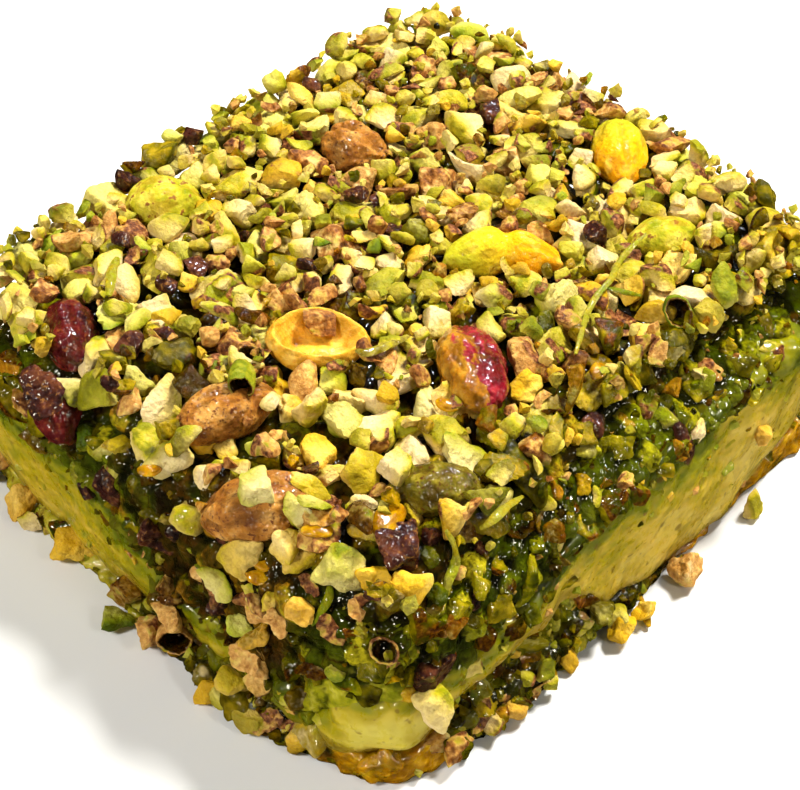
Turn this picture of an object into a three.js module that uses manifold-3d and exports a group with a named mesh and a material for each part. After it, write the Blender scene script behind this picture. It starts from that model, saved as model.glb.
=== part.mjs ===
// Pistachio baklava cake: one hand-cut, nearly square portion in layers.
// From the plate up: syrup-soaked pastry, ground pistachio, thick cream, a sticky green
// pistachio paste that runs down the sides, and a loose bed of chopped pistachios with whole kernels.
// Units are millimetres, +Z is up, the origin is the middle of the flat underside.
// The corner at +X, -Y is the near one, where the chopped nuts spill and the cream bulges.
import * as THREE from "three";
import { ConvexGeometry } from "three/addons/geometries/ConvexGeometry.js";
import { mergeVertices } from "three/addons/utils/BufferGeometryUtils.js";
import Module from "manifold-3d";

const wasm = await Module();
wasm.setup();

// Driving dimensions
const FOOT_X = 81;
const FOOT_Y = 90.5;
const SQUARENESS = 7; // exponent of the superellipse that the block is in plan
const PASTRY_TOP = 5;
const GROUND_NUT_TOP = 9;
const CREAM_TOP = 22.4;
const PASTE_TOP = 27;
const BED_THICKNESS = 2.8; // of the chopped nuts' bed on the paste
const CORNER_SLUMP = 2.4; // how far the near corner has sunk
const GAP = 0.3; // clearance between neighbouring solids

// How finely the rings are cut
const STEPS = 56;
const CORNER_CROWDING = 0.09; // draws the ring's points together at the four corners
const RIM_SHARE = 0.78; // the layers are wavy outside this share of their outline, and flat inside it

// Lower edges of the cream and of the paste round the block: direction in degrees, height in mm
const NEAR_CORNER = -49;
const CREAM_HEM = [
  [NEAR_CORNER, 4.4], [-40, 9], [-30, 12], [-20, 11.5], [-8, 4.5], [4, 1.8], [26, 1.8], [40, 6.5], [52, 4],
  [75, 3], [100, 6], [131, 4], [165, 2.2], [200, 5], [229, 4.5], [240, 2.4], [275, 2.2], [293, 6.5],
];
const PASTE_HEM = [
  [NEAR_CORNER, 11.5], [-38, 12.4], [-28, 15], [-18, 20], [0, 21.4], [18, 21.6], [36, 21.8], [52, 20],
  [80, 17], [110, 20.5], [131, 16], [160, 19], [195, 16.5], [229, 19.5], [248, 17], [264, 14.5], [278, 7.4],
  [300, 6.8],
];
// How far the pastry's toe and the chopped bed stand inside the foot's outline, in mm.
// A negative inset lies outside it, where the nuts and crumbs spill on the plate.
const TOE_INSET = [
  [NEAR_CORNER, -0.4], [-38, 0.3], [-22, 0.4], [-8, 1.4], [12, 2], [30, 2.6], [44, 1.6], [60, 1], [131, 1],
  [229, 0.8], [262, 0.2], [276, -0.8], [288, -1.8], [298, -1], [305, 0.4],
];
const BED_INSET = [
  [NEAR_CORNER, 3.4], [-36, 6.4], [0, 8], [40, 7.6], [60, 4], [90, 2.6], [120, 2.8], [150, 2.4], [200, 2.4],
  [225, 3], [250, 3.4], [290, 3.6],
];
// Thickness of the bed's edge in mm, which is piled high along the two far sides
const BED_EDGE = [
  [NEAR_CORNER, 0.9], [0, 0.9], [36, 1], [58, 2.8], [130, 3.2], [205, 2.8], [230, 1.4], [250, 0.9],
];

// How far the layers stand inside the foot's outline
const COVERED_INSET = 4.4; // pastry and ground nuts, where cream hangs over them
const CREAM_INSET = 1.3;
const CREAM_NECK_INSET = 3.6; // where the paste covers the cream
const PASTE_INSET = 1.2;
const LEAST_CREAM_BAND = 3.2; // the least height of cream between its hem and the paste's

// The paste's rounded shoulder: distance in from its side, and drop below its top
const SHOULDER = [[0, 4.6], [1.2, 2.6], [3.2, 1.1], [6, 0.3]];

// Chopped nuts, by half length, from the largest to the smallest
const TOPPING_SIZES = [3.1, 2.6, 2.2];
const TOPPING_PIECES = 100;
const SIDE_PIECES = 20;
const FOOT_PIECES = 18;
const CREAM_PIECES = 4;
const PIECE_CORNERS = 8;

// Whole and half kernels that lie in the topping: place, heading and tilt in degrees, half sizes.
// Bend curves the long axis, and dish hollows the upper side of a half.
const KERNELS = [
  { name: "kernel_glossy_red", at: [18.4, -8.6, 31.3], heading: -32, tilt: 8, half: [8.2, 3.9, 3.5] },
  { name: "kernel_yellow_bent", at: [6.8, 9.0, 31.3], heading: 44, tilt: 0, half: [7.4, 3.3, 3.2], bend: 2.2 },
  { name: "kernel_open_half", at: [2.3, -17.9, 31.2], heading: 52, tilt: -6, half: [6.2, 4.6, 3.3], dish: 2.2 },
  { name: "kernel_brown_corner", at: [14.8, -38.4, 27.8], heading: 52, tilt: 10, half: [7.2, 4.2, 3.6] },
  { name: "kernel_brown_glossy", at: [2.6, -33.2, 30.2], heading: 78, tilt: 0, half: [6.6, 3.6, 3.1] },
  { name: "kernel_tan_wrinkled", at: [-21, 10.4, 31.0], heading: 20, tilt: 6, half: [4.4, 3.6, 3.1] },
  { name: "kernel_dark_red", at: [-20.5, -36.8, 29.4], heading: -32, tilt: -10, half: [5.2, 3.3, 3.0] },
  { name: "kernel_red_brown", at: [-15.8, -43.4, 24.8], heading: -20, tilt: -32, half: [4.6, 2.9, 2.6] },
  { name: "kernel_yellow_green", at: [-30.4, -13.9, 30.4], heading: 58, tilt: 0, half: [5.0, 3.8, 3.3] },
  { name: "kernel_pale_far", at: [3.7, 34.6, 30.6], heading: -44, tilt: 4, half: [6.6, 3.6, 3.2] },
  { name: "kernel_olive", at: [27.6, -24.4, 29.8], heading: 38, tilt: 10, half: [5.4, 3.4, 3.0] },
  { name: "kernel_pale_green", at: [18.4, 25.4, 30.8], heading: 66, tilt: 4, half: [4.6, 2.7, 2.6] },
];

// Long curved slivers of kernel that lie on the chopped bed and are part of it
const SLIVERS = [
  { at: [-16.5, 1.2, 30.2], heading: 52, tilt: 4, half: [3.8, 1.2, 1.4], bend: 0.8 },
  { at: [28.6, 6.5, 29.8], heading: 40, tilt: -4, half: [7.0, 1.3, 1.3], bend: 1.6 },
  { at: [3.5, -26.4, 30.4], heading: 24, tilt: 3, half: [5.0, 1.2, 1.4], bend: -1.2 },
  { at: [-7.4, 25.6, 30.4], heading: -24, tilt: 0, half: [4.6, 1.3, 1.4], bend: 1.0 },
];

const COLOURS = {
  pastry: { color: 0xb5781c, roughness: 0.3 },
  groundNut: { color: 0x4a4a12, roughness: 0.45 },
  cream: { color: 0xd0c25e, roughness: 0.35 },
  paste: { color: 0x5c5f14, roughness: 0.35 },
  chopped: { color: 0xd9c353, roughness: 0.6 },
  kernelRed: { color: 0x7a2a20, roughness: 0.25 },
  kernelBrown: { color: 0xb07a3c, roughness: 0.5 },
  kernelYellow: { color: 0xe8c42e, roughness: 0.45 },
  kernelGreen: { color: 0xb2b23a, roughness: 0.5 },
};
const KERNEL_COLOURS = {
  kernel_glossy_red: COLOURS.kernelRed,
  kernel_dark_red: COLOURS.kernelRed,
  kernel_red_brown: COLOURS.kernelRed,
  kernel_brown_corner: COLOURS.kernelBrown,
  kernel_brown_glossy: COLOURS.kernelBrown,
  kernel_tan_wrinkled: COLOURS.kernelBrown,
  kernel_yellow_bent: COLOURS.kernelYellow,
  kernel_open_half: COLOURS.kernelYellow,
  kernel_pale_far: COLOURS.kernelYellow,
};

const DEGREE = Math.PI / 180;

// A repeatable stream of numbers between 0 and 1
function randomStream(seed) {
  let state = seed >>> 0;
  return () => {
    state = (state + 0x6d2b79f5) >>> 0;
    let t = Math.imul(state ^ (state >>> 15), 1 | state);
    t = (t + Math.imul(t ^ (t >>> 7), 61 | t)) ^ t;
    return ((t ^ (t >>> 14)) >>> 0) / 4294967296;
  };
}

// A smooth closed curve of values through a list of [direction, value] points
function around(points, angle) {
  const first = points[0][0];
  const turn = ((((angle / DEGREE - first) % 360) + 360) % 360) + first;
  const next = points.findIndex((p) => p[0] > turn);
  const i = next < 0 ? points.length : next;
  const [from, low] = points[i - 1];
  const [to, high] = points[i] ?? [first + 360, points[0][1]];
  const share = (turn - from) / (to - from);
  return low + (high - low) * share * share * (3 - 2 * share);
}

// A slow wave round the block, between about -1 and 1, that differs with its phase
function wave(angle, phase) {
  const slow = Math.sin(2 * angle + phase);
  const middle = 0.7 * Math.sin(5 * angle + 2.1 * phase);
  const quick = 0.5 * Math.sin(11 * angle + 3.7 * phase);
  return (slow + middle + quick) / 2.2;
}

// The block's outline in plan in one direction, drawn in by an inset
function outline(angle, inset) {
  const c = Math.cos(angle);
  const s = Math.sin(angle);
  const x = Math.abs(c) / (FOOT_X / 2 - inset);
  const y = Math.abs(s) / (FOOT_Y / 2 - inset);
  const radius = (x ** SQUARENESS + y ** SQUARENESS) ** (-1 / SQUARENESS);
  return [radius * c, radius * s];
}

// Directions of a ring's points, closer together at the corners
const ANGLES = Array.from({ length: STEPS }, (_, i) => {
  const t = (i / STEPS) * 2 * Math.PI;
  return t + CORNER_CROWDING * Math.sin(4 * t);
});

// One ring: inset and height are numbers or functions of the direction.
// Share shrinks the ring to the middle, and every thins its points.
function ring(inset, height, { share = 1, every = 1 } = {}) {
  const value = (v, angle) => (typeof v === "function" ? v(angle) : v);
  return ANGLES.filter((_, i) => i % every === 0).map((angle) => {
    const [x, y] = outline(angle, value(inset, angle));
    return [x * share, y * share, value(height, angle)];
  });
}

// The flat inner part of a layer's face, from the middle out to the rim
const innerRing = (height) => ring(COVERED_INSET, height, { share: RIM_SHARE, every: 2 });

// The strip of triangles between two rings, where one may have half as many points
function strip(a, b, countA, countB) {
  const faces = [];
  const fine = Math.max(countA, countB);
  for (let j = 0; j < fine; j++) {
    const lowNow = a + (countA < fine ? j >> 1 : j);
    const lowNext = a + (countA < fine ? ((j + 1) >> 1) % countA : (j + 1) % countA);
    const highNow = b + (countB < fine ? j >> 1 : j);
    const highNext = b + (countB < fine ? ((j + 1) >> 1) % countB : (j + 1) % countB);
    if (lowNow !== lowNext) faces.push(lowNow, lowNext, highNext);
    if (highNow !== highNext) faces.push(lowNow, highNext, highNow);
  }
  return faces;
}

// A closed surface through rings from the lower middle to the upper middle
function ringGeometry(rings, lowMiddle, highMiddle) {
  const points = [[0, 0, lowMiddle], ...rings.flat(), [0, 0, highMiddle]];
  const starts = rings.map((_, r) => 1 + rings.slice(0, r).reduce((sum, each) => sum + each.length, 0));
  const index = [];
  const top = rings.length - 1;
  rings[0].forEach((_, j) => index.push(0, starts[0] + ((j + 1) % rings[0].length), starts[0] + j));
  for (let r = 0; r < top; r++) {
    index.push(...strip(starts[r], starts[r + 1], rings[r].length, rings[r + 1].length));
  }
  rings[top].forEach((_, j) => {
    index.push(points.length - 1, starts[top] + j, starts[top] + ((j + 1) % rings[top].length));
  });
  const geometry = new THREE.BufferGeometry();
  geometry.setAttribute("position", new THREE.Float32BufferAttribute(points.flat(), 3));
  geometry.setIndex(index);
  return geometry;
}

// three.js geometry to a manifold solid, and back
function solidOf(geometry) {
  const bare = new THREE.BufferGeometry();
  const source = geometry.index ? geometry.toNonIndexed() : geometry;
  bare.setAttribute("position", source.getAttribute("position"));
  const merged = mergeVertices(bare, 1e-3);
  return new wasm.Manifold(
    new wasm.Mesh({
      numProp: 3,
      vertProperties: new Float32Array(merged.attributes.position.array),
      triVerts: new Uint32Array(merged.index.array),
    }),
  );
}

function geometryOf(solid) {
  const mesh = solid.getMesh();
  const geometry = new THREE.BufferGeometry();
  geometry.setAttribute("position", new THREE.BufferAttribute(new Float32Array(mesh.vertProperties), 3));
  geometry.setIndex(new THREE.BufferAttribute(new Uint32Array(mesh.triVerts), 1));
  geometry.computeVertexNormals();
  return geometry;
}

const union = (solids) => wasm.Manifold.union(solids);
const raised = (solid) => solid.translate([0, 0, GAP]);

// The largest body of a solid: drops loose scraps and fills sealed hollows
function largest(solid) {
  return solid.decompose().reduce((a, b) => (a.volume() > b.volume() ? a : b));
}

// How far the near corner has sunk, in one direction and at one inset
function slump(angle, inset) {
  const away = Math.abs((((angle / DEGREE - NEAR_CORNER + 540) % 360) - 180) / 16);
  return CORNER_SLUMP * Math.exp(-away * away) * Math.max(0, 1 - inset / 12);
}

// Edges and surfaces of the layers, each a function of the direction
const pasteHem = (a) => around(PASTE_HEM, a);
const creamHem = (a) => Math.min(around(CREAM_HEM, a), pasteHem(a) - LEAST_CREAM_BAND);
const pastryRim = (a) => PASTRY_TOP + 0.5 * wave(a, 1.3);
const groundNutRim = (a) => GROUND_NUT_TOP + 0.6 * wave(a, 4.1);
const creamRim = (a) => CREAM_TOP + 0.6 * wave(a, 2.6) - slump(a, 4);
const coveredInset = (a) => COVERED_INSET + 0.35 * wave(a, 3.3);
const creamInset = (a) => CREAM_INSET + 0.42 * (1 + wave(a, 6.1));
const creamNeck = (a) => CREAM_NECK_INSET + 0.3 * wave(a, 9.9);
const pasteInset = (a) => PASTE_INSET + 0.6 * (1 + wave(a, 7.7));
const bedInset = (a) => around(BED_INSET, a) + 0.5 * wave(a, 12.1);

// Height of the paste's upper surface at an inset from the foot's outline
function pasteHeight(angle, inset) {
  const inward = Math.max(0, inset - pasteInset(angle));
  const next = SHOULDER.findIndex((p) => p[0] > inward);
  if (next < 0) return PASTE_TOP - 0.3;
  const [near, low] = SHOULDER[next - 1];
  const [far, high] = SHOULDER[next];
  return PASTE_TOP - low - ((high - low) * (inward - near)) / (far - near) - slump(angle, inset);
}

// The pastry, with a ragged toe that spreads on the plate under the cream's hem
const pastryInset = (a) => around(TOE_INSET, a) + 0.4 * wave(a, 5.2);
function pastryGeometry() {
  const toeTop = (a) => Math.min(pastryRim(a), creamHem(a)) - 2 * GAP;
  const rings = [
    ring((a) => pastryInset(a) + 0.6, 0),
    ring(pastryInset, 1),
    ring((a) => pastryInset(a) + 0.5, toeTop),
    ring((a) => coveredInset(a) + 0.5, (a) => Math.max(toeTop(a) + 0.1, pastryRim(a) - 0.7)),
    ring((a) => coveredInset(a) + 1.4, pastryRim),
    innerRing(PASTRY_TOP),
  ];
  return ringGeometry(rings, 0, PASTRY_TOP);
}

// The ground pistachio layer between pastry and cream
function groundNutGeometry() {
  const rings = [
    innerRing(PASTRY_TOP + GAP),
    ring((a) => coveredInset(a) + 0.7, (a) => pastryRim(a) + GAP),
    ring(coveredInset, (a) => (pastryRim(a) + groundNutRim(a)) / 2),
    ring((a) => coveredInset(a) + 0.5, groundNutRim),
    innerRing(GROUND_NUT_TOP),
  ];
  return ringGeometry(rings, PASTRY_TOP + GAP, GROUND_NUT_TOP);
}

// The cream: a thick slab whose hem hangs over the layers below, with a lobe at the near corner
function creamGeometry() {
  const inner = (a) => coveredInset(a) - GAP - 0.1;
  const under = (a) => groundNutRim(a) + GAP;
  const belly = (a) => creamInset(a) - 0.5 + 0.4 * wave(a, 8.3);
  const upTo = (share) => (a) => creamHem(a) + (pasteHem(a) - 2 * GAP - creamHem(a)) * share;
  const rings = [
    innerRing(GROUND_NUT_TOP + GAP),
    ring((a) => coveredInset(a) + 0.3, under),
    ring(inner, (a) => Math.min(under(a) - 0.1, creamHem(a) + 3)),
    ring((a) => (inner(a) + creamInset(a)) / 2, creamHem),
    ring(creamInset, (a) => creamHem(a) + 0.8),
    ring(belly, upTo(0.45)),
    ring(belly, upTo(0.75)),
    ring(creamInset, upTo(1)),
    ring(creamNeck, (a) => pasteHem(a) + GAP),
    ring((a) => creamNeck(a) + 0.1, (a) => Math.max(creamRim(a) - 0.7, pasteHem(a) + 2 * GAP)),
    ring((a) => creamNeck(a) + 1, (a) => Math.max(creamRim(a), pasteHem(a) + 3 * GAP)),
    innerRing(CREAM_TOP),
  ];
  return ringGeometry(rings, GROUND_NUT_TOP + GAP, CREAM_TOP);
}

// The paste: a cap over the cream whose hem runs down the sides
function pasteGeometry() {
  const innerWall = (a) => creamNeck(a) - GAP;
  const outer = (phase) => (a) => pasteInset(a) + 0.45 * wave(a, phase);
  const sideAt = (share) => (a) => pasteHem(a) + (pasteHeight(a, 0) - pasteHem(a)) * share;
  const onTop = (inward) => {
    const inset = (a) => pasteInset(a) + inward;
    return ring(inset, (a) => pasteHeight(a, inset(a)));
  };
  const rings = [
    innerRing(CREAM_TOP + GAP),
    ring((a) => creamNeck(a) + 1, (a) => Math.max(creamRim(a), pasteHem(a) + 3 * GAP) + GAP),
    ring(innerWall, (a) => Math.max(creamRim(a) - 0.5, pasteHem(a) + 2 * GAP) + GAP),
    ring(innerWall, (a) => pasteHem(a) + 2.6 * GAP),
    ring((a) => pasteInset(a) + 0.6, (a) => pasteHem(a) + GAP),
    ring(outer(3.8), sideAt(0.3)),
    ring(outer(6.6), sideAt(0.75)),
    ...SHOULDER.slice(0, 3).map(([inward]) => onTop(inward)),
    innerRing(PASTE_TOP),
  ];
  return ringGeometry(rings, CREAM_TOP + GAP, PASTE_TOP);
}

// Thickness of the chopped bed in one direction, at a distance in from its edge
function bedThickness(angle, inward) {
  const share = Math.min(1, Math.max(0, inward / 5));
  const edge = around(BED_EDGE, angle);
  return edge + (BED_THICKNESS - edge) * Math.sin((share * Math.PI) / 2);
}

// The bed under the chopped nuts: an uneven sheet on the paste
function bedGeometry() {
  const under = (inward) => {
    const inset = (a) => bedInset(a) + inward;
    return ring(inset, (a) => pasteHeight(a, inset(a)) + 1.5 * GAP);
  };
  const over = (inward) => {
    const inset = (a) => bedInset(a) + inward;
    const swell = (a) => 0.4 * wave(a, 2 + inward);
    return ring(inset, (a) => pasteHeight(a, inset(a)) + bedThickness(a, inward) + swell(a));
  };
  const middle = (share, every) => {
    const height = (a) => PASTE_TOP + BED_THICKNESS + 0.5 * wave(a, 9 * share);
    return ring(COVERED_INSET, height, { share, every });
  };
  const rings = [
    innerRing(PASTE_TOP + 1.5 * GAP),
    under(0),
    over(0.6),
    over(3),
    middle(RIM_SHARE, 2),
    middle(0.5, 4),
  ];
  return ringGeometry(rings, PASTE_TOP + 1.5 * GAP, PASTE_TOP + BED_THICKNESS);
}

// A chopped piece: the hull of two uneven four-sided faces, flattened and turned at random.
// It lies flat on a surface that faces the given way.
function chopped(random, size, position, facing) {
  const points = [];
  for (let i = 0; i < PIECE_CORNERS; i++) {
    const upper = i % 2;
    const turn = (i / PIECE_CORNERS) * 2 * Math.PI + 0.5 * random();
    const reach = 0.8 + 0.35 * random();
    const height = (upper ? 0.7 : -0.7) + 0.3 * random();
    points.push(new THREE.Vector3(Math.cos(turn) * reach, Math.sin(turn) * reach, height));
  }
  const geometry = new ConvexGeometry(points);
  geometry.scale(size, size * (0.6 + 0.3 * random()), size * (0.5 + 0.25 * random()));
  geometry.rotateX((random() - 0.5) * 0.9);
  geometry.rotateY((random() - 0.5) * 0.7);
  geometry.rotateZ(random() * 2 * Math.PI);
  geometry.applyQuaternion(new THREE.Quaternion().setFromUnitVectors(new THREE.Vector3(0, 0, 1), facing));
  geometry.translate(...position);
  return solidOf(geometry);
}

// Spreads pieces over the bed, the largest first, none closer than their sizes allow
function bedPieces(random, keepClear) {
  const up = new THREE.Vector3(0, 0, 1);
  const placed = [];
  const solids = [];
  TOPPING_SIZES.forEach((size, step) => {
    const most = Math.round((TOPPING_PIECES * (step + 1)) / TOPPING_SIZES.length);
    for (let tries = 0; tries < 9000 && placed.length < most; tries++) {
      const angle = random() * 2 * Math.PI;
      const share = Math.sqrt(random());
      const rim = outline(angle, bedInset(angle) + 1.2);
      const [x, y] = [rim[0] * share, rim[1] * share];
      const near = (p) => Math.hypot(p.x - x, p.y - y) < 0.88 * (p.size + size);
      if (placed.some(near) || keepClear.some(near)) continue;
      placed.push({ x, y, size });
      const inward = (1 - share) * Math.hypot(...rim);
      const bed = pasteHeight(angle, bedInset(angle) + 1.2 + inward) + bedThickness(angle, inward + 1.2);
      solids.push(chopped(random, size, [x, y, bed + 0.3], up));
    }
  });
  return solids;
}

// Pieces stuck to a side: spread round the block between two heights, sunk into the wall
function wallPieces(random, count, [smallest, biggest], insetAt, heights) {
  const solids = [];
  for (let i = 0; i < count; i++) {
    const angle = ((i + 0.15 + 0.7 * random()) / count) * 2 * Math.PI;
    const size = smallest + (biggest - smallest) * random();
    const [low, high] = heights(angle);
    const [x, y] = outline(angle, insetAt(angle));
    const [nextX, nextY] = outline(angle + 0.01, insetAt(angle));
    const out = new THREE.Vector3(nextY - y, x - nextX, 0).normalize();
    solids.push(chopped(random, size, [x, y, low + (high - low) * random()], out));
  }
  return solids;
}

// A whole kernel: an egg-like body with a slimmer end, bent or dished where it says so
function kernelGeometry(kernel, { grow = 0, sides = 10, rows = 7 } = {}) {
  const { at, heading, tilt, half, bend = 0, dish = 0 } = kernel;
  const geometry = new THREE.SphereGeometry(1, sides, rows);
  geometry.rotateY(Math.PI / 2);
  const points = geometry.getAttribute("position");
  for (let i = 0; i < points.count; i++) {
    const [x, y, z] = [points.getX(i), points.getY(i), points.getZ(i)];
    const slim = 1 - 0.16 * x * x - 0.07 * x;
    const hollow = z > 0 ? (dish / half[2]) * z * Math.max(0, 1 - x * x - y * y) : 0;
    points.setX(i, x * (half[0] + grow));
    points.setY(i, y * slim * (half[1] + grow) - bend * x * x);
    points.setZ(i, (z * slim - hollow) * (half[2] + grow));
  }
  geometry.rotateY(-tilt * DEGREE);
  geometry.rotateZ(heading * DEGREE);
  geometry.translate(...at);
  return geometry;
}

// The kernels, and the coarser sockets that they lie in
const kernelSolids = KERNELS.map((kernel) => solidOf(kernelGeometry(kernel)));
const socketCut = { grow: 2 * GAP, sides: 8, rows: 6 };
const socketOf = (kernel) => solidOf(kernelGeometry({ ...kernel, dish: 0 }, socketCut));
const kernelSockets = union(KERNELS.map(socketOf));

// The pastry with the nuts that fell beside it, just beyond its toe
const footRandom = randomStream(47);
const footInset = (a) => Math.min(pastryInset(a), 0.6) - 0.7;
const footPieces = wallPieces(footRandom, FOOT_PIECES, [1.8, 2.6], footInset, () => [1.1, 1.7]);
const aboveFloor = solidOf(new THREE.BoxGeometry(FOOT_X * 2, FOOT_Y * 2, 60).translate(0, 0, 30));
const creamBody = solidOf(creamGeometry());
const belowCream = creamBody.translate([0, 0, -GAP]);
const pastryWithNuts = union([solidOf(pastryGeometry()), ...footPieces]).intersect(aboveFloor);
const pastry = largest(pastryWithNuts.subtract(creamBody).subtract(belowCream));

const groundNut = solidOf(groundNutGeometry());

// The cream with a few nuts stuck to it, cut clear of the paste
const creamRandom = randomStream(5);
const creamHeights = (a) => [creamHem(a) + 1.8, Math.max(creamHem(a) + 2, pasteHem(a) - 3)];
const creamPieces = wallPieces(creamRandom, CREAM_PIECES, [1.3, 1.8], creamInset, creamHeights);
const cream = largest(union([creamBody, ...creamPieces]));

// The paste with nuts on its sides, cut clear of the cream and the kernels
const sideRandom = randomStream(41);
const sideHeights = (a) => [pasteHem(a) + 2.8, pasteHeight(a, 0) - 0.8];
const sidePieces = wallPieces(sideRandom, SIDE_PIECES, [1.5, 2.3], (a) => pasteInset(a) + 0.4, sideHeights);
const pasteBody = solidOf(pasteGeometry());
const pasteWithNuts = union([pasteBody, ...sidePieces]);
const paste = largest(pasteWithNuts.subtract(creamBody).subtract(raised(creamBody)).subtract(kernelSockets));

// The chopped bed with its nuts and slivers, cut clear of the paste and the kernels
const topRandom = randomStream(7);
const keepClear = KERNELS.map(({ at, half }) => ({ x: at[0], y: at[1], size: (half[0] + half[1]) / 2 }));
const slivers = SLIVERS.map((sliver) => solidOf(kernelGeometry(sliver, { sides: 6, rows: 5 })));
const bed = union([solidOf(bedGeometry()), ...slivers, ...bedPieces(topRandom, keepClear)]);
const topping = largest(bed.subtract(raised(pasteWithNuts)).subtract(kernelSockets));

// The scene graph
const cake = new THREE.Group();
function addPiece(name, solid, look) {
  const material = new THREE.MeshStandardMaterial({ ...look, metalness: 0, flatShading: true });
  const mesh = new THREE.Mesh(geometryOf(solid), material);
  mesh.name = name;
  cake.add(mesh);
}

addPiece("pastry_base", pastry, COLOURS.pastry);
addPiece("ground_pistachio_layer", groundNut, COLOURS.groundNut);
addPiece("cream_layer", cream, COLOURS.cream);
addPiece("pistachio_paste", paste, COLOURS.paste);
addPiece("chopped_topping", topping, COLOURS.chopped);
KERNELS.forEach(({ name }, i) => {
  addPiece(name, kernelSolids[i], KERNEL_COLOURS[name] ?? COLOURS.kernelGreen);
});

// The origin is the middle of the box round all the pieces, on the underside
const box = new THREE.Box3().setFromObject(cake);
const middle = box.getCenter(new THREE.Vector3());
cake.position.set(-middle.x, -middle.y, -box.min.z);

export default cake;
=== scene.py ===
"""Looks of the pistachio baklava cake: soft layers, chopped nuts, whole kernels, floor, light, camera.

Shapes are worked out in millimetres, in the block's own frame with the near corner at +X, -Y,
and moved to the CAD's frame in metres when their mesh is made.
"""
import math

import bmesh
import bpy
import numpy as np
from mathutils import Matrix, Vector
from mathutils.bvhtree import BVHTree


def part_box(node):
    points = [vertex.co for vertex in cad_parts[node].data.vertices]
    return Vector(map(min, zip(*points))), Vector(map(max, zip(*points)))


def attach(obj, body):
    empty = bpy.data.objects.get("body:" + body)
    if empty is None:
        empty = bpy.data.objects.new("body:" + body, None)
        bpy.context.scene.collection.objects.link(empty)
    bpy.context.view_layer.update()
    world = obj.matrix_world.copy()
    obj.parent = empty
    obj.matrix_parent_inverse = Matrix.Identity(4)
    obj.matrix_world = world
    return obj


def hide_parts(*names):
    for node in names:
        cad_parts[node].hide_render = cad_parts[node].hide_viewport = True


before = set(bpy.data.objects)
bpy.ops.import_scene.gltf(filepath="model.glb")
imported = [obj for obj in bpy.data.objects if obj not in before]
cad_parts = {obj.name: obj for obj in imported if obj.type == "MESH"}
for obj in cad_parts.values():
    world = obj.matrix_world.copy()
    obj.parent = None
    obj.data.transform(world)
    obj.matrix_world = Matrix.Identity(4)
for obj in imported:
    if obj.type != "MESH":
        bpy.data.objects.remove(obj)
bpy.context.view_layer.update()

MM = 0.001
FULL_TURN = 2 * math.pi

# The block's driving dimensions in mm, as in the solids
FOOT_X = 81.0
FOOT_Y = 90.5
SQUARENESS = 7
PASTRY_TOP = 5.0
GROUND_NUT_TOP = 9.0
CREAM_TOP = 22.4
PASTE_TOP = 27.0
BED_THICKNESS = 2.8
CORNER_SLUMP = 2.4
GAP = 0.3
NEAR_CORNER = -49.0
RIM_SHARE = 0.78
COVERED_INSET = 4.4
CREAM_INSET = 1.3
CREAM_NECK_INSET = 3.6
PASTE_INSET = 1.2
LEAST_CREAM_BAND = 3.2
SHOULDER = [(0, 4.6), (1.2, 2.6), (3.2, 1.1), (6, 0.3)]

# Edges round the block: direction in degrees against height or inset in mm, as in the solids
CREAM_HEM = [
    (NEAR_CORNER, 4.4), (-40, 9), (-30, 12), (-20, 11.5), (-8, 4.5), (4, 1.8), (26, 1.8), (40, 6.5), (52, 4),
    (75, 3), (100, 6), (131, 4), (165, 2.2), (200, 5), (229, 4.5), (240, 2.4), (275, 2.2), (293, 6.5),
]
PASTE_HEM = [
    (NEAR_CORNER, 11.5), (-38, 12.4), (-28, 15), (-18, 20), (0, 21.4), (18, 21.6), (36, 21.8), (52, 20),
    (80, 17), (110, 20.5), (131, 16), (160, 19), (195, 16.5), (229, 19.5), (248, 17), (264, 14.5), (278, 7.4),
    (300, 6.8),
]
TOE_INSET = [
    (NEAR_CORNER, -0.4), (-38, 0.3), (-22, 0.4), (-8, 1.4), (12, 2), (30, 2.6), (44, 1.6), (60, 1), (131, 1),
    (229, 0.8), (262, 0.2), (276, -0.8), (288, -1.8), (298, -1), (305, 0.4),
]
BED_INSET = [
    (NEAR_CORNER, 3.4), (-36, 6.4), (0, 8), (40, 7.6), (60, 4), (90, 2.6), (120, 2.8), (150, 2.4), (200, 2.4),
    (225, 3), (250, 3.4), (290, 3.6),
]
BED_EDGE = [
    (NEAR_CORNER, 0.9), (0, 0.9), (36, 1), (58, 2.8), (130, 3.2), (205, 2.8), (230, 1.4), (250, 0.9),
]

# How much green paste and how much cream covers the pastry's toe: direction against share
GREEN_TOE = [
    (NEAR_CORNER, 0.05), (-43, 0.2), (-37, 1), (-12, 1), (4, 0.6), (20, 0.1), (60, 0.3), (120, 0.5),
    (229, 0.5), (262, 0.6), (274, 1), (298, 1), (305, 0.4),
]
CREAMY_TOE = [(NEAR_CORNER, 0), (200, 0), (226, 0.9), (262, 1), (274, 0.3), (290, 0)]

# How far the cream's hem hangs below the solid's: direction against mm
CREAM_DROP = [
    (NEAR_CORNER, 2), (-36, 1), (-28, 3), (-14, 3), (-4, 0.4), (180, 0.4), (225, 1.6), (268, 1.6), (285, 0),
]

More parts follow.
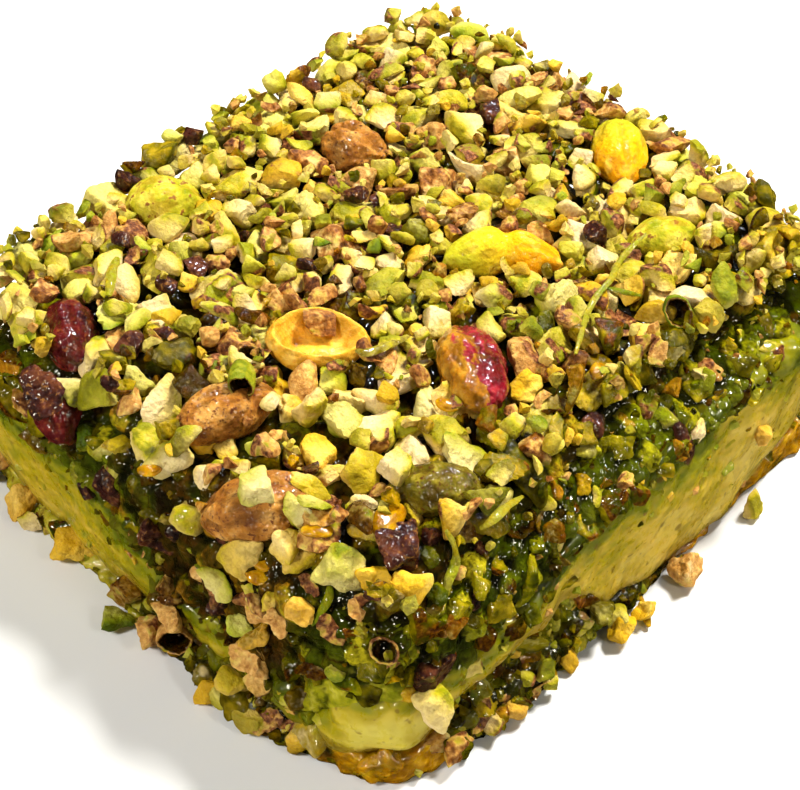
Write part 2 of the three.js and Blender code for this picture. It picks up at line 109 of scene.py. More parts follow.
# Whole and half kernels. Each first line is as in the solids: place, heading and tilt in degrees, half
# sizes, bend and dish. Each second line is the look: wrinkles in mm, how much slimmer the waist is,
# which skin it has, and what share of it the chopped nuts leave clear.
KERNELS = {
    "kernel_glossy_red": dict(
        at=(18.4, -8.6, 31.3), heading=-32, tilt=8, half=(8.2, 3.9, 3.5),
        wrinkle=0.3, skin="red"),
    "kernel_yellow_bent": dict(
        at=(6.8, 9.0, 31.3), heading=44, tilt=0, half=(7.4, 3.3, 3.2), bend=2.2,
        wrinkle=0.1, waist=0.26, skin="yellow"),
    "kernel_open_half": dict(
        at=(2.3, -17.9, 31.2), heading=52, tilt=-6, half=(6.2, 4.6, 3.3), dish=2.2,
        wrinkle=0.1, skin="orange"),
    "kernel_brown_corner": dict(
        at=(14.8, -38.4, 27.8), heading=52, tilt=10, half=(7.2, 4.2, 3.6),
        wrinkle=0.2, skin="brown", clear=0.7),
    "kernel_brown_glossy": dict(
        at=(2.6, -33.2, 30.2), heading=78, tilt=0, half=(6.6, 3.6, 3.1),
        wrinkle=0.2, skin="brown", clear=0.5),
    "kernel_tan_wrinkled": dict(
        at=(-21, 10.4, 31.0), heading=20, tilt=6, half=(4.4, 3.6, 3.1),
        wrinkle=0.5, skin="brown"),
    "kernel_dark_red": dict(
        at=(-20.5, -36.8, 29.4), heading=-32, tilt=-10, half=(5.2, 3.3, 3.0),
        wrinkle=0.3, skin="dark_red", clear=0.6),
    "kernel_red_brown": dict(
        at=(-15.8, -43.4, 24.8), heading=-20, tilt=-32, half=(4.6, 2.9, 2.6),
        wrinkle=0.3, skin="dark_red", clear=0.6),
    "kernel_yellow_green": dict(
        at=(-30.4, -13.9, 30.4), heading=58, tilt=0, half=(5.0, 3.8, 3.3),
        wrinkle=0.12, skin="green"),
    "kernel_pale_far": dict(
        at=(3.7, 34.6, 30.6), heading=-44, tilt=4, half=(6.6, 3.6, 3.2),
        wrinkle=0.16, skin="yellow"),
    "kernel_olive": dict(
        at=(27.6, -24.4, 29.8), heading=38, tilt=10, half=(5.4, 3.4, 3.0),
        wrinkle=0.26, skin="olive"),
    "kernel_pale_green": dict(
        at=(18.4, 25.4, 30.8), heading=66, tilt=4, half=(4.6, 2.7, 2.6),
        wrinkle=0.14, skin="green"),
}

# The photo's frame and camera, in pixels, mm and degrees
IMAGE_WIDTH = 800
IMAGE_HEIGHT = 790
LENS = 99.0
SENSOR = 36.0
AZIMUTH = math.radians(44.4)
ELEVATION = math.radians(44.54)
ROLL = math.radians(0.5)
DISTANCE = 278.2
AIM = (0.0, 0.0, 17.0)
ASIDE = -1.24
BELOW = -6.28

# How fine the looks are
STEPS = 704  # points round a layer
SPACING = 0.5  # mm between a layer's rows
CELL = 0.35  # mm between the points where the heap's height is kept
HEAP_REACH = (50, 54)  # mm from the middle to the sides of that grid
ABOVE_ALL = 60  # mm, from where the height is measured
OUTLINE_POINTS = 8001  # where the outline's length is measured


# Random numbers and noise

TABLE_SIZE = 4096
TABLE = np.random.default_rng(11).random(TABLE_SIZE)
CUBE_CORNERS = np.array([(x, y, z) for x in (0, 1) for y in (0, 1) for z in (0, 1)])
NEIGHBOURS = np.array([(x, y, z) for x in (-1, 0, 1) for y in (-1, 0, 1) for z in (-1, 0, 1)])
HASH_PRIMES = (73856093, 19349663, 83492791)
WORD = 0xFFFFFFFF
STREAM_STEP = 0x6D2B79F5


def random_stream(seed):
    """The solids' repeatable stream of numbers between 0 and 1."""
    state = seed

    def draw():
        nonlocal state
        state = (state + STREAM_STEP) & WORD
        t = ((state ^ (state >> 15)) * (1 | state)) & WORD
        t = ((t + (((t ^ (t >> 7)) * (61 | t)) & WORD)) & WORD) ^ t
        return ((t ^ (t >> 14)) & WORD) / (WORD + 1)

    return draw


def scrambled(cell):
    """A place in the table for each whole-number cell."""
    x, y, z = (cell[..., k] * prime for k, prime in enumerate(HASH_PRIMES))
    return (x ^ y ^ z) & (TABLE_SIZE - 1)


def noise(points, size, seed=0):
    """Smooth noise from -1 to 1 at points in mm, with lumps about size mm across."""
    p = np.asarray(points, float) / size + 31.7 * (seed + 1)
    cell = np.floor(p).astype(np.int64)
    share = p - cell
    share = share * share * (3 - 2 * share)
    total = np.zeros(len(p))
    for corner in CUBE_CORNERS:
        weight = np.prod(np.where(corner, share, 1 - share), axis=1)
        total += weight * TABLE[scrambled(cell + corner)]
    return 2 * total - 1


def grains(points, size, seed=0):
    """Height of the nearest round grain, 1 at its middle and 0 at its edge, and that grain's own number."""
    p = np.asarray(points, float) / size + 17.3 * (seed + 1)
    base = np.floor(p).astype(np.int64)
    nearest = np.full(len(p), 9.0)
    own = np.zeros(len(p))
    for offset in NEIGHBOURS:
        cell = base + offset
        index = scrambled(cell)
        jitter = np.stack([TABLE[(index + k) % TABLE_SIZE] for k in range(3)], axis=1)
        away = np.linalg.norm(p - cell - 0.1 - 0.8 * jitter, axis=1)
        closer = away < nearest
        nearest = np.where(closer, away, nearest)
        own = np.where(closer, TABLE[(index + 3) % TABLE_SIZE], own)
    return np.clip(1 - (nearest / 0.75) ** 2, 0, 1), own


def smooth_step(value, low, high):
    """0 up to low, 1 from high on, and a smooth rise between them."""
    share = np.clip((value - low) / (high - low), 0, 1)
    return share * share * (3 - 2 * share)


# The block's outline and the layers' edges, as in the solids

def columns(*values):
    """Arrays side by side, as the columns of one."""
    return np.stack(values, axis=1)


def direction(points):
    """The direction of points from the block's middle, in radians."""
    return np.arctan2(points[:, 1], points[:, 0])


def off_corner(a):
    """How many degrees a direction is from the near corner."""
    return (np.degrees(a) - NEAR_CORNER + 180) % 360 - 180


def around(edge, angle):
    """A smooth closed curve of values through a list of (direction, value) pairs."""
    first = edge[0][0]
    directions = np.array([d for d, _ in edge] + [first + 360.0])
    values = np.array([v for _, v in edge] + [edge[0][1]], float)
    turn = (np.degrees(angle) - first) % 360 + first
    i = np.clip(np.searchsorted(directions, turn, side="right") - 1, 0, len(edge) - 1)
    share = (turn - directions[i]) / (directions[i + 1] - directions[i])
    return values[i] + (values[i + 1] - values[i]) * share * share * (3 - 2 * share)


def wave(angle, phase):
    """A slow wave round the block, between about -1 and 1."""
    slow = np.sin(2 * angle + phase)
    middle = 0.7 * np.sin(5 * angle + 2.1 * phase)
    quick = 0.5 * np.sin(11 * angle + 3.7 * phase)
    return (slow + middle + quick) / 2.2


def outline(angle, inset):
    """The block's outline in plan, drawn in by an inset."""
    c, s = np.cos(angle), np.sin(angle)
    x = np.abs(c) / (FOOT_X / 2 - inset)
    y = np.abs(s) / (FOOT_Y / 2 - inset)
    radius = (x**SQUARENESS + y**SQUARENESS) ** (-1 / SQUARENESS)
    return radius * c, radius * s


def even_angles(count):
    """Directions of points that are evenly spaced along the outline."""
    dense = np.linspace(0, FULL_TURN, OUTLINE_POINTS)
    x, y = outline(dense, 0)
    walked = np.concatenate([[0], np.cumsum(np.hypot(np.diff(x), np.diff(y)))])
    return np.interp(np.arange(count) / count * walked[-1], walked, dense)


ANGLES = even_angles(STEPS)


def outline_points(a):
    """Points of the foot's outline, at height 0."""
    x, y = outline(a, 0)
    return columns(x, y, 0 * x)


def beyond(points, inset):
    """Whether points are outside the outline drawn in by an inset."""
    return np.hypot(points[:, 0], points[:, 1]) > np.hypot(*outline(direction(points), inset))


def slump(a, inset):
    """How far the cake sinks at the near corner, in mm."""
    away = off_corner(a) / 16
    return CORNER_SLUMP * np.exp(-away * away) * np.maximum(0, 1 - inset / 12)


def wavy(base, amount, phase):
    """A height or inset that waves round the block."""
    return lambda a: base + amount * wave(a, phase)


pastry_rim = wavy(PASTRY_TOP, 0.5, 1.3)
ground_nut_rim = wavy(GROUND_NUT_TOP, 0.6, 4.1)
covered_inset = wavy(COVERED_INSET, 0.35, 3.3)
cream_neck = wavy(CREAM_NECK_INSET, 0.3, 9.9)


def paste_hem(a):
    return around(PASTE_HEM, a)


def cream_hem(a):
    return np.minimum(around(CREAM_HEM, a), paste_hem(a) - LEAST_CREAM_BAND)


def cream_rim(a):
    return CREAM_TOP + 0.6 * wave(a, 2.6) - slump(a, 4)


def cream_inset(a):
    return CREAM_INSET + 0.42 * (1 + wave(a, 6.1))


def cream_belly(a):
    return cream_inset(a) - 0.5 + 0.4 * wave(a, 8.3)


def paste_inset(a):
    return PASTE_INSET + 0.6 * (1 + wave(a, 7.7))


def bed_inset(a):
    return around(BED_INSET, a) + 0.5 * wave(a, 12.1)


def pastry_inset(a):
    return around(TOE_INSET, a) + 0.4 * wave(a, 5.2)


def paste_height(a, inset):
    """Height of the paste's upper surface at an inset from the foot's outline."""
    inward = np.maximum(0, inset - paste_inset(a))
    drop = np.interp(inward, [d for d, _ in SHOULDER], [drop for _, drop in SHOULDER])
    return PASTE_TOP - drop - np.where(inward < SHOULDER[-1][0], slump(a, inset), 0)


def bed_thickness(a, inward):
    share = np.clip(inward / 5, 0, 1)
    edge = around(BED_EDGE, a)
    return edge + (BED_THICKNESS - edge) * np.sin(share * math.pi / 2)


# Meshes of the layers: closed surfaces through rings

def ring(inset, height, inward=0.0, up=0.0, share=1.0, every=1):
    """Points round the block. Inset and height are numbers or functions of the direction."""
    a = ANGLES[::every]
    inset, height = (v(a) if callable(v) else np.full(len(a), float(v)) for v in (inset, height))
    x, y = outline(a, inset + inward)
    return columns(x * share, y * share, height + up)


def middle_ring(height, share=0.66, every=16):
    """A coarse ring in the flat middle of a face that other layers hide."""
    return ring(COVERED_INSET, height, share=share, every=every)


def inner_rings(height):
    """The last rings of a flat face."""
    return [middle_ring(height, 0.72, 4), middle_ring(height)]


def strip(start_a, start_b, count_a, count_b):
    """Triangles between two rings, where one may have fewer points."""
    fine = max(count_a, count_b)
    j = np.arange(fine)
    low = start_a + j * count_a // fine
    low_next = start_a + (j + 1) * count_a // fine % count_a
    high = start_b + j * count_b // fine
    high_next = start_b + (j + 1) * count_b // fine % count_b
    lower = columns(low, low_next, high_next)[low != low_next]
    upper = columns(low, high_next, high)[high != high_next]
    return np.concatenate([lower, upper])


def in_rows(rings, rounding):
    """Adds even rows between neighbouring rings of the same count, and rounds their corners."""
    rows = [rings[0]]
    for here, there in zip(rings, rings[1:]):
        count = 1
        if len(here) == len(there):
            gap = np.linalg.norm(there - here, axis=1).mean() * len(here) / STEPS
            count = max(1, round(gap / SPACING))
        rows += [here + (there - here) * k / count for k in range(1, count + 1)] if count > 1 else [there]
    for _ in range(rounding):
        softer = list(rows)
        for k in range(1, len(rows) - 1):
            if len(rows[k - 1]) == len(rows[k]) == len(rows[k + 1]):
                softer[k] = 0.25 * rows[k - 1] + 0.5 * rows[k] + 0.25 * rows[k + 1]
        rows = softer
    return rows


def loft(rings, rounding=3):
    """A closed surface from the lower middle through the rings to the upper middle."""
    rows = in_rows(rings, rounding)
    points = np.concatenate([[rows[0].mean(axis=0)], *rows, [rows[-1].mean(axis=0)]])
    starts = 1 + np.concatenate([[0], np.cumsum([len(row) for row in rows])])[:-1]
    j = np.arange(len(rows[0]))
    faces = [columns(0 * j, starts[0] + (j + 1) % len(j), starts[0] + j)]
    for k in range(len(rows) - 1):
        faces.append(strip(starts[k], starts[k + 1], len(rows[k]), len(rows[k + 1])))
    j = np.arange(len(rows[-1]))
    faces.append(columns(0 * j + len(points) - 1, starts[-1] + j, starts[-1] + (j + 1) % len(j)))
    return points, np.concatenate(faces)


def across_faces(points, faces):
    """A vector square to each triangle, twice as long as its area."""
    corners = points[faces]
    return np.cross(corners[:, 1] - corners[:, 0], corners[:, 2] - corners[:, 0])


def normals_of(points, faces):
    across = across_faces(points, faces)
    total = np.zeros_like(points)
    for k in range(3):
        for axis in range(3):
            total[:, axis] += np.bincount(faces[:, k], across[:, axis], len(points))
    return total / (np.linalg.norm(total, axis=1, keepdims=True) + 1e-12)


def moved_out(points, faces, amount):
    """The surface moved along its normals, and kept above the floor."""
    moved = points + normals_of(points, faces) * amount[:, None]
    moved[:, 2] = np.maximum(moved[:, 2], np.minimum(points[:, 2], 0.02))
    return moved


def away_from_floor(points, height=1.2):
    return smooth_step(points[:, 2], 0, height)


# Pieces: meshes in metres in the CAD's frame

def cad_shift():
    """Where the block's own origin lies in the CAD's frame, in mm, from the kernels' boxes."""
    shifts = []
    for name, kernel in KERNELS.items():
        low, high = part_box(name)
        points = kernel_points(kernel, ICOSPHERE[0])
        shifts.append((np.array(low) + np.array(high)) / (2 * MM) - (points.min(0) + points.max(0)) / 2)
    return np.mean(shifts, axis=0) * [1, 1, 0]


def add_piece(name, points, faces, material, attributes=None, replaces=(), sharp=None):
    """One mesh piece that rides on the block. Attributes are numbers, or triples, for each point."""
    mesh = bpy.data.meshes.new(name)
    mesh.vertices.add(len(points))
    mesh.vertices.foreach_set("co", ((points + SHIFT) * MM).astype(np.float32).ravel())
    mesh.loops.add(3 * len(faces))
    mesh.loops.foreach_set("vertex_index", faces.astype(np.int32).ravel())
    mesh.polygons.add(len(faces))
    mesh.polygons.foreach_set("loop_start", np.arange(0, 3 * len(faces), 3, dtype=np.int32))
    mesh.polygons.foreach_set("use_smooth", np.ones(len(faces), bool))
    mesh.update(calc_edges=True)
    mesh.validate()
    for key, values in (attributes or {}).items():
        kind, field = ("FLOAT_VECTOR", "vector") if values.ndim == 2 else ("FLOAT", "value")
        stored = mesh.attributes.new(key, kind, "POINT")
        stored.data.foreach_set(field, values.astype(np.float32).ravel())
    if sharp is not None:
        mesh.set_sharp_from_angle(angle=math.radians(sharp))
    mesh.materials.append(material)
    piece = bpy.data.objects.new(name, mesh)
    bpy.context.scene.collection.objects.link(piece)
    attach(piece, "root")
    if replaces:
        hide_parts(*replaces)


def icosphere(subdivisions):
    """Directions and triangles of an even ball."""
    ball = bmesh.new()
    bmesh.ops.create_icosphere(ball, subdivisions=subdivisions, radius=1)
    points = np.array([v.co[:] for v in ball.verts])
    faces = np.array([[v.index for v in f.verts] for f in ball.faces])
    ball.free()
    return points, faces


ICOSPHERE = icosphere(4)
FINE_BALL = icosphere(5)


def turned(points, heading=0.0, tilt=0.0):
    """Points turned about Z by a heading after a tilt of the X axis upwards, in degrees."""
    h, t = math.radians(heading), math.radians(tilt)
    tilting = np.array([[math.cos(t), 0, -math.sin(t)], [0, 1, 0], [math.sin(t), 0, math.cos(t)]])
    heading_turn = np.array([[math.cos(h), -math.sin(h), 0], [math.sin(h), math.cos(h), 0], [0, 0, 1]])
    return points @ (heading_turn @ tilting).T


def kernel_points(kernel, ball, relief=None):
    """A kernel's surface, shaped as its solid is, with relief in mm added along its radius."""
    x, y, z = ball.T
    half = kernel["half"]
    slim = 1 - 0.16 * x * x - 0.07 * x
    hollow = np.where(z > 0, kernel.get("dish", 0) / half[2] * z * np.maximum(0, 1 - x * x - y * y), 0)
    shape = columns(x * half[0], y * slim * half[1], (z * slim - hollow) * half[2])
    if relief is not None:
        shape += ball * relief[:, None]
    shape[:, 1] -= kernel.get("bend", 0) * x * x
    return turned(shape, kernel["heading"], kernel["tilt"]) + kernel["at"]


SHIFT = cad_shift()


# Materials

def linear(red, green, blue):
    """A colour as seen on a screen, 0 to 255, as Blender's linear numbers."""
    channels = [c / 255 for c in (red, green, blue)]
    return tuple(c / 12.92 if c <= 0.04045 else ((c + 0.055) / 1.055) ** 2.4 for c in channels) + (1.0,)


def coat(weight, roughness, ior):
    """A wet film."""
    return dict(Coat_Weight=weight, Coat_Roughness=roughness, Coat_IOR=ior)


def flesh(weight, radius, depth):
    """Light that goes in and comes out again, with its depth in mm."""
    return dict(Subsurface_Weight=weight, Subsurface_Radius=radius, Subsurface_Scale=depth * MM)


class Look:
    """A material and short ways to add its nodes. Texture sizes are in mm."""

    def __init__(self, name, **constants):
        self.material = bpy.data.materials.new(name)
        self.material.use_nodes = True
        self.tree = self.material.node_tree
        self.tree.nodes.clear()
        output = self.tree.nodes.new("ShaderNodeOutputMaterial")
        self.shader = self.tree.nodes.new("ShaderNodeBsdfPrincipled")
        self.tree.links.new(self.shader.outputs[0], output.inputs[0])
        for key, value in constants.items():
            self.shader.inputs[key.replace("_", " ")].default_value = value
        where = self.add("ShaderNodeTexCoord").outputs["Object"]
        in_mm = self.add("ShaderNodeVectorMath", {0: where, "Scale": 1 / MM}, operation="SCALE")
        self.place = in_mm.outputs[0]

    def add(self, kind, inputs=None, **settings):
        node = self.tree.nodes.new(kind)
        for key, value in settings.items():
            setattr(node, key, value)
        for key, value in (inputs or {}).items():
            if isinstance(value, bpy.types.NodeSocket):
                self.tree.links.new(value, node.inputs[key])
            else:
                node.inputs[key].default_value = value
        return node

    def noise(self, size, detail=2.0, stretch=(1, 1, 1)):
        place = self.place
        if stretch != (1, 1, 1):
            place = self.add("ShaderNodeVectorMath", {0: place, 1: stretch}, operation="MULTIPLY").outputs[0]
        inputs = {"Vector": place, "Scale": 1 / size, "Detail": detail, "Roughness": 0.6}
        return self.add("ShaderNodeTexNoise", inputs).outputs["Fac"]

    def attribute(self, name, part="Fac"):
        return self.add("ShaderNodeAttribute", attribute_name=name).outputs[part]

    def parts(self, name):
        """The three numbers of a vector attribute."""
        vector = self.attribute(name, "Vector")
        return self.add("ShaderNodeSeparateXYZ", {0: vector}).outputs

    def maths(self, operation, a, b=0.0, clamp=False):
        return self.add("ShaderNodeMath", {0: a, 1: b}, operation=operation, use_clamp=clamp).outputs[0]

    def plus(self, a, b):
        return self.maths("ADD", a, b)

    def times(self, a, b):
        return self.maths("MULTIPLY", a, b)

    def span(self, value, low, high, to_low=0.0, to_high=1.0):
        """A value between low and high, brought smoothly to another span."""
        inputs = {"Value": value, "From Min": low, "From Max": high, "To Min": to_low, "To Max": to_high}
        return self.add("ShaderNodeMapRange", inputs, interpolation_type="SMOOTHSTEP").outputs[0]

    def patchy(self, size, low, high, to_low=0.0, to_high=1.0, detail=2.0):
        """Noise between low and high, brought to another span."""
        return self.span(self.noise(size, detail), low, high, to_low, to_high)

    def ramp(self, factor, *stops):
        """Colours between stops of (place, colour)."""
        node = self.add("ShaderNodeValToRGB", {"Fac": factor})
        elements = node.color_ramp.elements
        while len(elements) < len(stops):
            elements.new(0.5)
        for element, (place, colour) in zip(elements, stops):
            element.position = place
            element.color = linear(*colour)
        return node.outputs["Color"]

    def tones(self, noise, low, middle, high):
        """Three colours over the middle part of a noise."""
        return self.ramp(noise, (0.3, low), (0.5, middle), (0.7, high))

    def mix(self, factor, a, b, blend="MIX"):
        node = self.add("ShaderNodeMix", data_type="RGBA", blend_type=blend)
        for key, value in ((0, factor), (6, a), (7, b)):
            if isinstance(value, bpy.types.NodeSocket):
                self.tree.links.new(value, node.inputs[key])
            else:
                node.inputs[key].default_value = linear(*value) if isinstance(value, tuple) else value
        return node.outputs[2]

    def bump(self, height, distance, coat=False):
        """Relief of a height from 0 to 1, with its depth in mm. The coat follows only what came so far."""
        normal = self.shader.inputs["Normal"].links
        inputs = {"Height": height, "Distance": distance * MM, "Strength": 1.0}
        if normal:
            inputs["Normal"] = normal[0].from_socket
        relief = self.add("ShaderNodeBump", inputs).outputs[0]
        self.finish(Normal=relief, **({"Coat_Normal": relief} if coat else {}))

    def finish(self, **sockets):
        for key, value in sockets.items():
            self.tree.links.new(value, self.shader.inputs[key.replace("_", " ")])
        return self.material


def paste_look(name, tint):
    """Wet, dark-green nut paste. Its attribute look holds lump height, lump number and closeness to the hem,
    warm says where syrup and brown skins colour it, and creamy where cream is mixed into it."""
    look = Look(name, Specular_IOR_Level=0.03, **coat(0.7, 0.05, 1.42))
    height, number, hem = look.parts("look")
    lumps = look.ramp(
        number, (0.0, (32, 36, 0)), (0.3, (50, 60, 0)), (0.5, (82, 90, 1)), (0.62, (56, 32, 1)),
        (0.72, (96, 106, 2)), (0.88, (148, 144, 8)), (1.0, (186, 170, 26)))
    syrupy = look.ramp(
        number, (0.0, (14, 8, 0)), (0.3, (38, 20, 1)), (0.55, (74, 44, 2)), (0.7, (54, 46, 2)),
        (0.85, (116, 78, 6)), (1.0, (170, 122, 20)))
    warm = look.plus(look.attribute("warm"), look.noise(3.0))
    colour = look.mix(look.span(warm, 0.8, 1.1), lumps, syrupy)
    colour = look.mix(look.patchy(0.9, 0.35, 0.7, 0, 0.8, detail=3), colour, (28, 26, 0))
    # Painted shade: where the lump height is low, in the hollows between the lumps, the colour is darkened to
    # near black
    colour = look.mix(look.span(height, 0.02, 0.45), (14, 15, 0), colour)
    colour = look.mix(look.times(hem, look.patchy(2.6, 0.32, 0.62)), colour, tint)
    cream = look.tones(look.noise(1.8), (120, 122, 6), (160, 154, 26), (198, 186, 68))
    creamy = look.plus(look.attribute("creamy"), look.patchy(2.4, 0.3, 0.7, -0.3, 0.3))
    colour = look.mix(look.span(creamy, 0.3, 0.8), colour, cream)
    look.bump(look.noise(1.5, 1), 0.55, coat=True)
    look.bump(look.noise(0.5, 3), 0.3)
    return look.finish(Base_Color=colour, Roughness=look.patchy(0.5, 0.3, 0.7, 0.3, 0.6))


def cream_look():
    """Thick, pale yellow cream. Its attribute look holds how near the paste, the lobe and the hem are."""
    look = Look("cream", Specular_IOR_Level=0.3, **coat(0.7, 0.09, 1.4), **flesh(0.35, (1.0, 0.9, 0.4), 2.2))
    smear, lobe, hem = look.parts("look")
    cloud = look.noise(4.0, 2, (0.6, 0.6, 1.2))
    wisp = look.noise(1.8, 1, (0.6, 0.6, 1.3))
    mixed = look.plus(smear, look.span(cloud, 0.2, 0.8, -0.2, 0.2))
    mixed = look.plus(mixed, look.span(wisp, 0.25, 0.75, -0.12, 0.12))
    colour = look.ramp(
        mixed, (0.0, (208, 182, 78)), (0.22, (198, 168, 48)), (0.42, (174, 152, 18)), (0.62, (140, 134, 6)),
        (0.82, (98, 104, 3)), (1.0, (60, 68, 1)))
    colour = look.mix(look.times(lobe, look.span(mixed, 0.5, 0.2, 0, 0.6)), colour, (198, 188, 70))
    colour = look.mix(look.patchy(1.6, 0.66, 0.74, 0, 0.7, detail=1), colour, (112, 82, 8))
    flecks = look.times(look.patchy(0.55, 0.73, 0.79, detail=1), look.span(cloud, 0.4, 0.6))
    colour = look.mix(flecks, colour, (74, 40, 8))
    colour = look.mix(look.span(hem, 0, 1, 0, 0.6), colour, (116, 88, 8))
    look.bump(look.noise(1.7, 1), 0.4, coat=True)
    look.bump(look.noise(1.1), 0.05)
    return look.finish(Base_Color=colour, Roughness=look.patchy(1.2, 0.3, 0.7, 0.2, 0.45))


def pastry_look():
    """Syrup-soaked pastry: amber and glossy, with green paste and cream on it where look says so."""
    look = Look(
        "pastry", Specular_IOR_Level=0.2, **coat(0.85, 0.08, 1.45), **flesh(0.4, (1.0, 0.6, 0.08), 2.2))
    green, creamy, number = look.parts("look")
    sheets = look.noise(1.6, 3, (0.7, 0.7, 1.3))
    colour = look.ramp(
        sheets, (0.3, (104, 64, 1)), (0.44, (158, 108, 1)), (0.58, (190, 138, 6)), (0.72, (222, 180, 40)))
    colour = look.mix(look.patchy(3.2, 0.5, 0.7, 0, 0.7), colour, (104, 82, 4))
    nutty = look.ramp(
        number, (0.0, (18, 17, 0)), (0.4, (44, 44, 2)), (0.6, (44, 24, 4)), (0.8, (92, 88, 6)),
        (1.0, (140, 128, 20)))
    colour = look.mix(look.span(look.plus(green, look.noise(2.0, 3)), 0.82, 1.12), colour, nutty)
    cream = look.tones(look.noise(2.4, 3), (120, 110, 14), (168, 154, 36), (200, 184, 72))
    colour = look.mix(look.span(look.plus(creamy, look.noise(3.0, 3)), 0.9, 1.15), colour, cream)
    look.bump(sheets, 0.3, coat=True)
    look.bump(look.noise(0.4), 0.12)
    return look.finish(Base_Color=colour, Roughness=look.patchy(0.8, 0.3, 0.7, 0.12, 0.38))


def nut_look(name, **constants):
    """Chopped nut. Depth is mm below the kernel's surface; tone holds green, golden and toasted shares,
    and coat holds skin, wet paste and the piece's own number."""
    look = Look(name, **flesh(0.15, (1.0, 0.9, 0.2), 0.8), **constants)
    green, golden, toasted = look.parts("tone")
    skin, wet, number = look.parts("coat")
    fine = look.noise(0.7, 3)
    patch = look.noise(1.8)
    depth = look.plus(look.attribute("depth"), look.span(patch, 0.2, 0.8, -0.45, 0.45))
    share = look.maths("DIVIDE", depth, 2.4, clamp=True)
    pale = look.ramp(
        share, (0.0, (142, 144, 14)), (0.12, (192, 180, 36)), (0.34, (216, 192, 108)), (1.0, (228, 203, 158)))
    leafy = look.ramp(
        share, (0.0, (84, 106, 6)), (0.18, (128, 142, 14)), (0.45, (172, 176, 42)), (1.0, (206, 200, 98)))
    gold = look.ramp(share, (0.0, (190, 148, 16)), (0.4, (226, 178, 34)), (1.0, (238, 202, 84)))
    tan = look.tones(fine, (168, 112, 50), (206, 154, 78), (232, 188, 110))
    brown = look.tones(fine, (78, 38, 12), (136, 82, 32), (190, 130, 60))
    colour = look.mix(green, pale, leafy)
    colour = look.mix(golden, colour, gold)
    tanned = look.times(look.span(toasted, 0.15, 0.5), look.span(patch, 0.25, 0.5))
    colour = look.mix(tanned, colour, tan)
    browned = look.times(look.span(toasted, 0.55, 1.0), look.span(patch, 0.35, 0.6))
    colour = look.mix(browned, colour, brown)
    papery = look.tones(look.noise(0.5), (58, 24, 16), (116, 66, 34), (178, 120, 70))
    on_skin = look.times(look.span(look.attribute("depth"), 0.42, 0.18), skin)
    on_skin = look.times(on_skin, look.span(patch, 0.4, 0.52))
    colour = look.mix(on_skin, colour, papery)
    fibre = look.patchy(0.45, 0.42, 0.62, 0, 0.24, detail=3)
    colour = look.mix(fibre, colour, (188, 156, 84), "MULTIPLY")
    uneven = look.plus(look.span(patch, 0.25, 0.75, 0, 0.5), look.times(number, 0.5))
    syrup = look.ramp(
        uneven, (0.1, (60, 56, 6)), (0.35, (112, 112, 16)), (0.6, (166, 162, 38)), (0.85, (228, 214, 84)))
    glazed = look.mix(1.0, colour, syrup, "MULTIPLY")
    coated = look.span(look.plus(look.span(patch, 0.2, 0.8, 0, 0.5), wet), 0.5, 1.0)
    colour = look.mix(coated, colour, glazed)
    rough = look.maths("SUBTRACT", look.span(fine, 0.3, 0.7, 0.42, 0.62), look.times(coated, 0.36))
    look.bump(look.noise(1.0, 1), 0.3, coat=True)
    look.bump(fine, 0.26)
    look.bump(look.noise(0.3), 0.12)
    return look.finish(Base_Color=colour, Roughness=rough)


# Kernel skins: slot, the coat's weight and roughness, three colours over large patches, and the flecks'
# lower and upper noise, strengths and colour
SKINS = {
    "red": dict(
        slot="kernel_red", coat=(1.0, 0.04), tones=[(66, 4, 12), (122, 14, 28), (172, 44, 52)],
        flecks=(0.56, 0.7, 0, 0.25), fleck=(220, 110, 100)),
    "dark_red": dict(
        slot="kernel_red", coat=(1.0, 0.04), tones=[(30, 4, 8), (76, 12, 14), (118, 36, 26)],
        flecks=(0.55, 0.7, 0, 0.5), fleck=(150, 84, 30)),
    "brown": dict(
        slot="kernel_brown", coat=(0.36, 0.12), tones=[(112, 60, 18), (176, 116, 44), (210, 160, 84)],
        flecks=(0.5, 0.7), fleck=(96, 44, 22)),
    "yellow": dict(slot="kernel_yellow", coat=(0.2, 0.15), flecks=(0.5, 0.75, 0, 0.7), fleck=(246, 220, 96)),
    "green": dict(
        slot="kernel_green", coat=(0.08, 0.3), tones=[(134, 138, 16), (184, 172, 36), (218, 200, 80)],
        flecks=(0.58, 0.66), fleck=(138, 90, 36)),
    "olive": dict(
        slot="kernel_green", coat=(0.5, 0.06), tones=[(40, 34, 4), (98, 86, 12), (164, 146, 38)],
        flecks=(0.52, 0.7), fleck=(84, 44, 16)),
    "orange": dict(
        slot="kernel_yellow", coat=(0.1, 0.2), tones=[(214, 150, 36), (232, 176, 54), (244, 204, 96)],
        flecks=(0.56, 0.7, 0, 0.3), fleck=(204, 128, 30)),
    "dark": dict(
        slot="kernel_red", coat=(0.6, 0.06), tones=[(22, 10, 9), (58, 26, 20), (104, 56, 32)],
        flecks=(0.55, 0.7), fleck=(136, 92, 44)),
}
PALE_SKINS = ("yellow", "orange", "green")


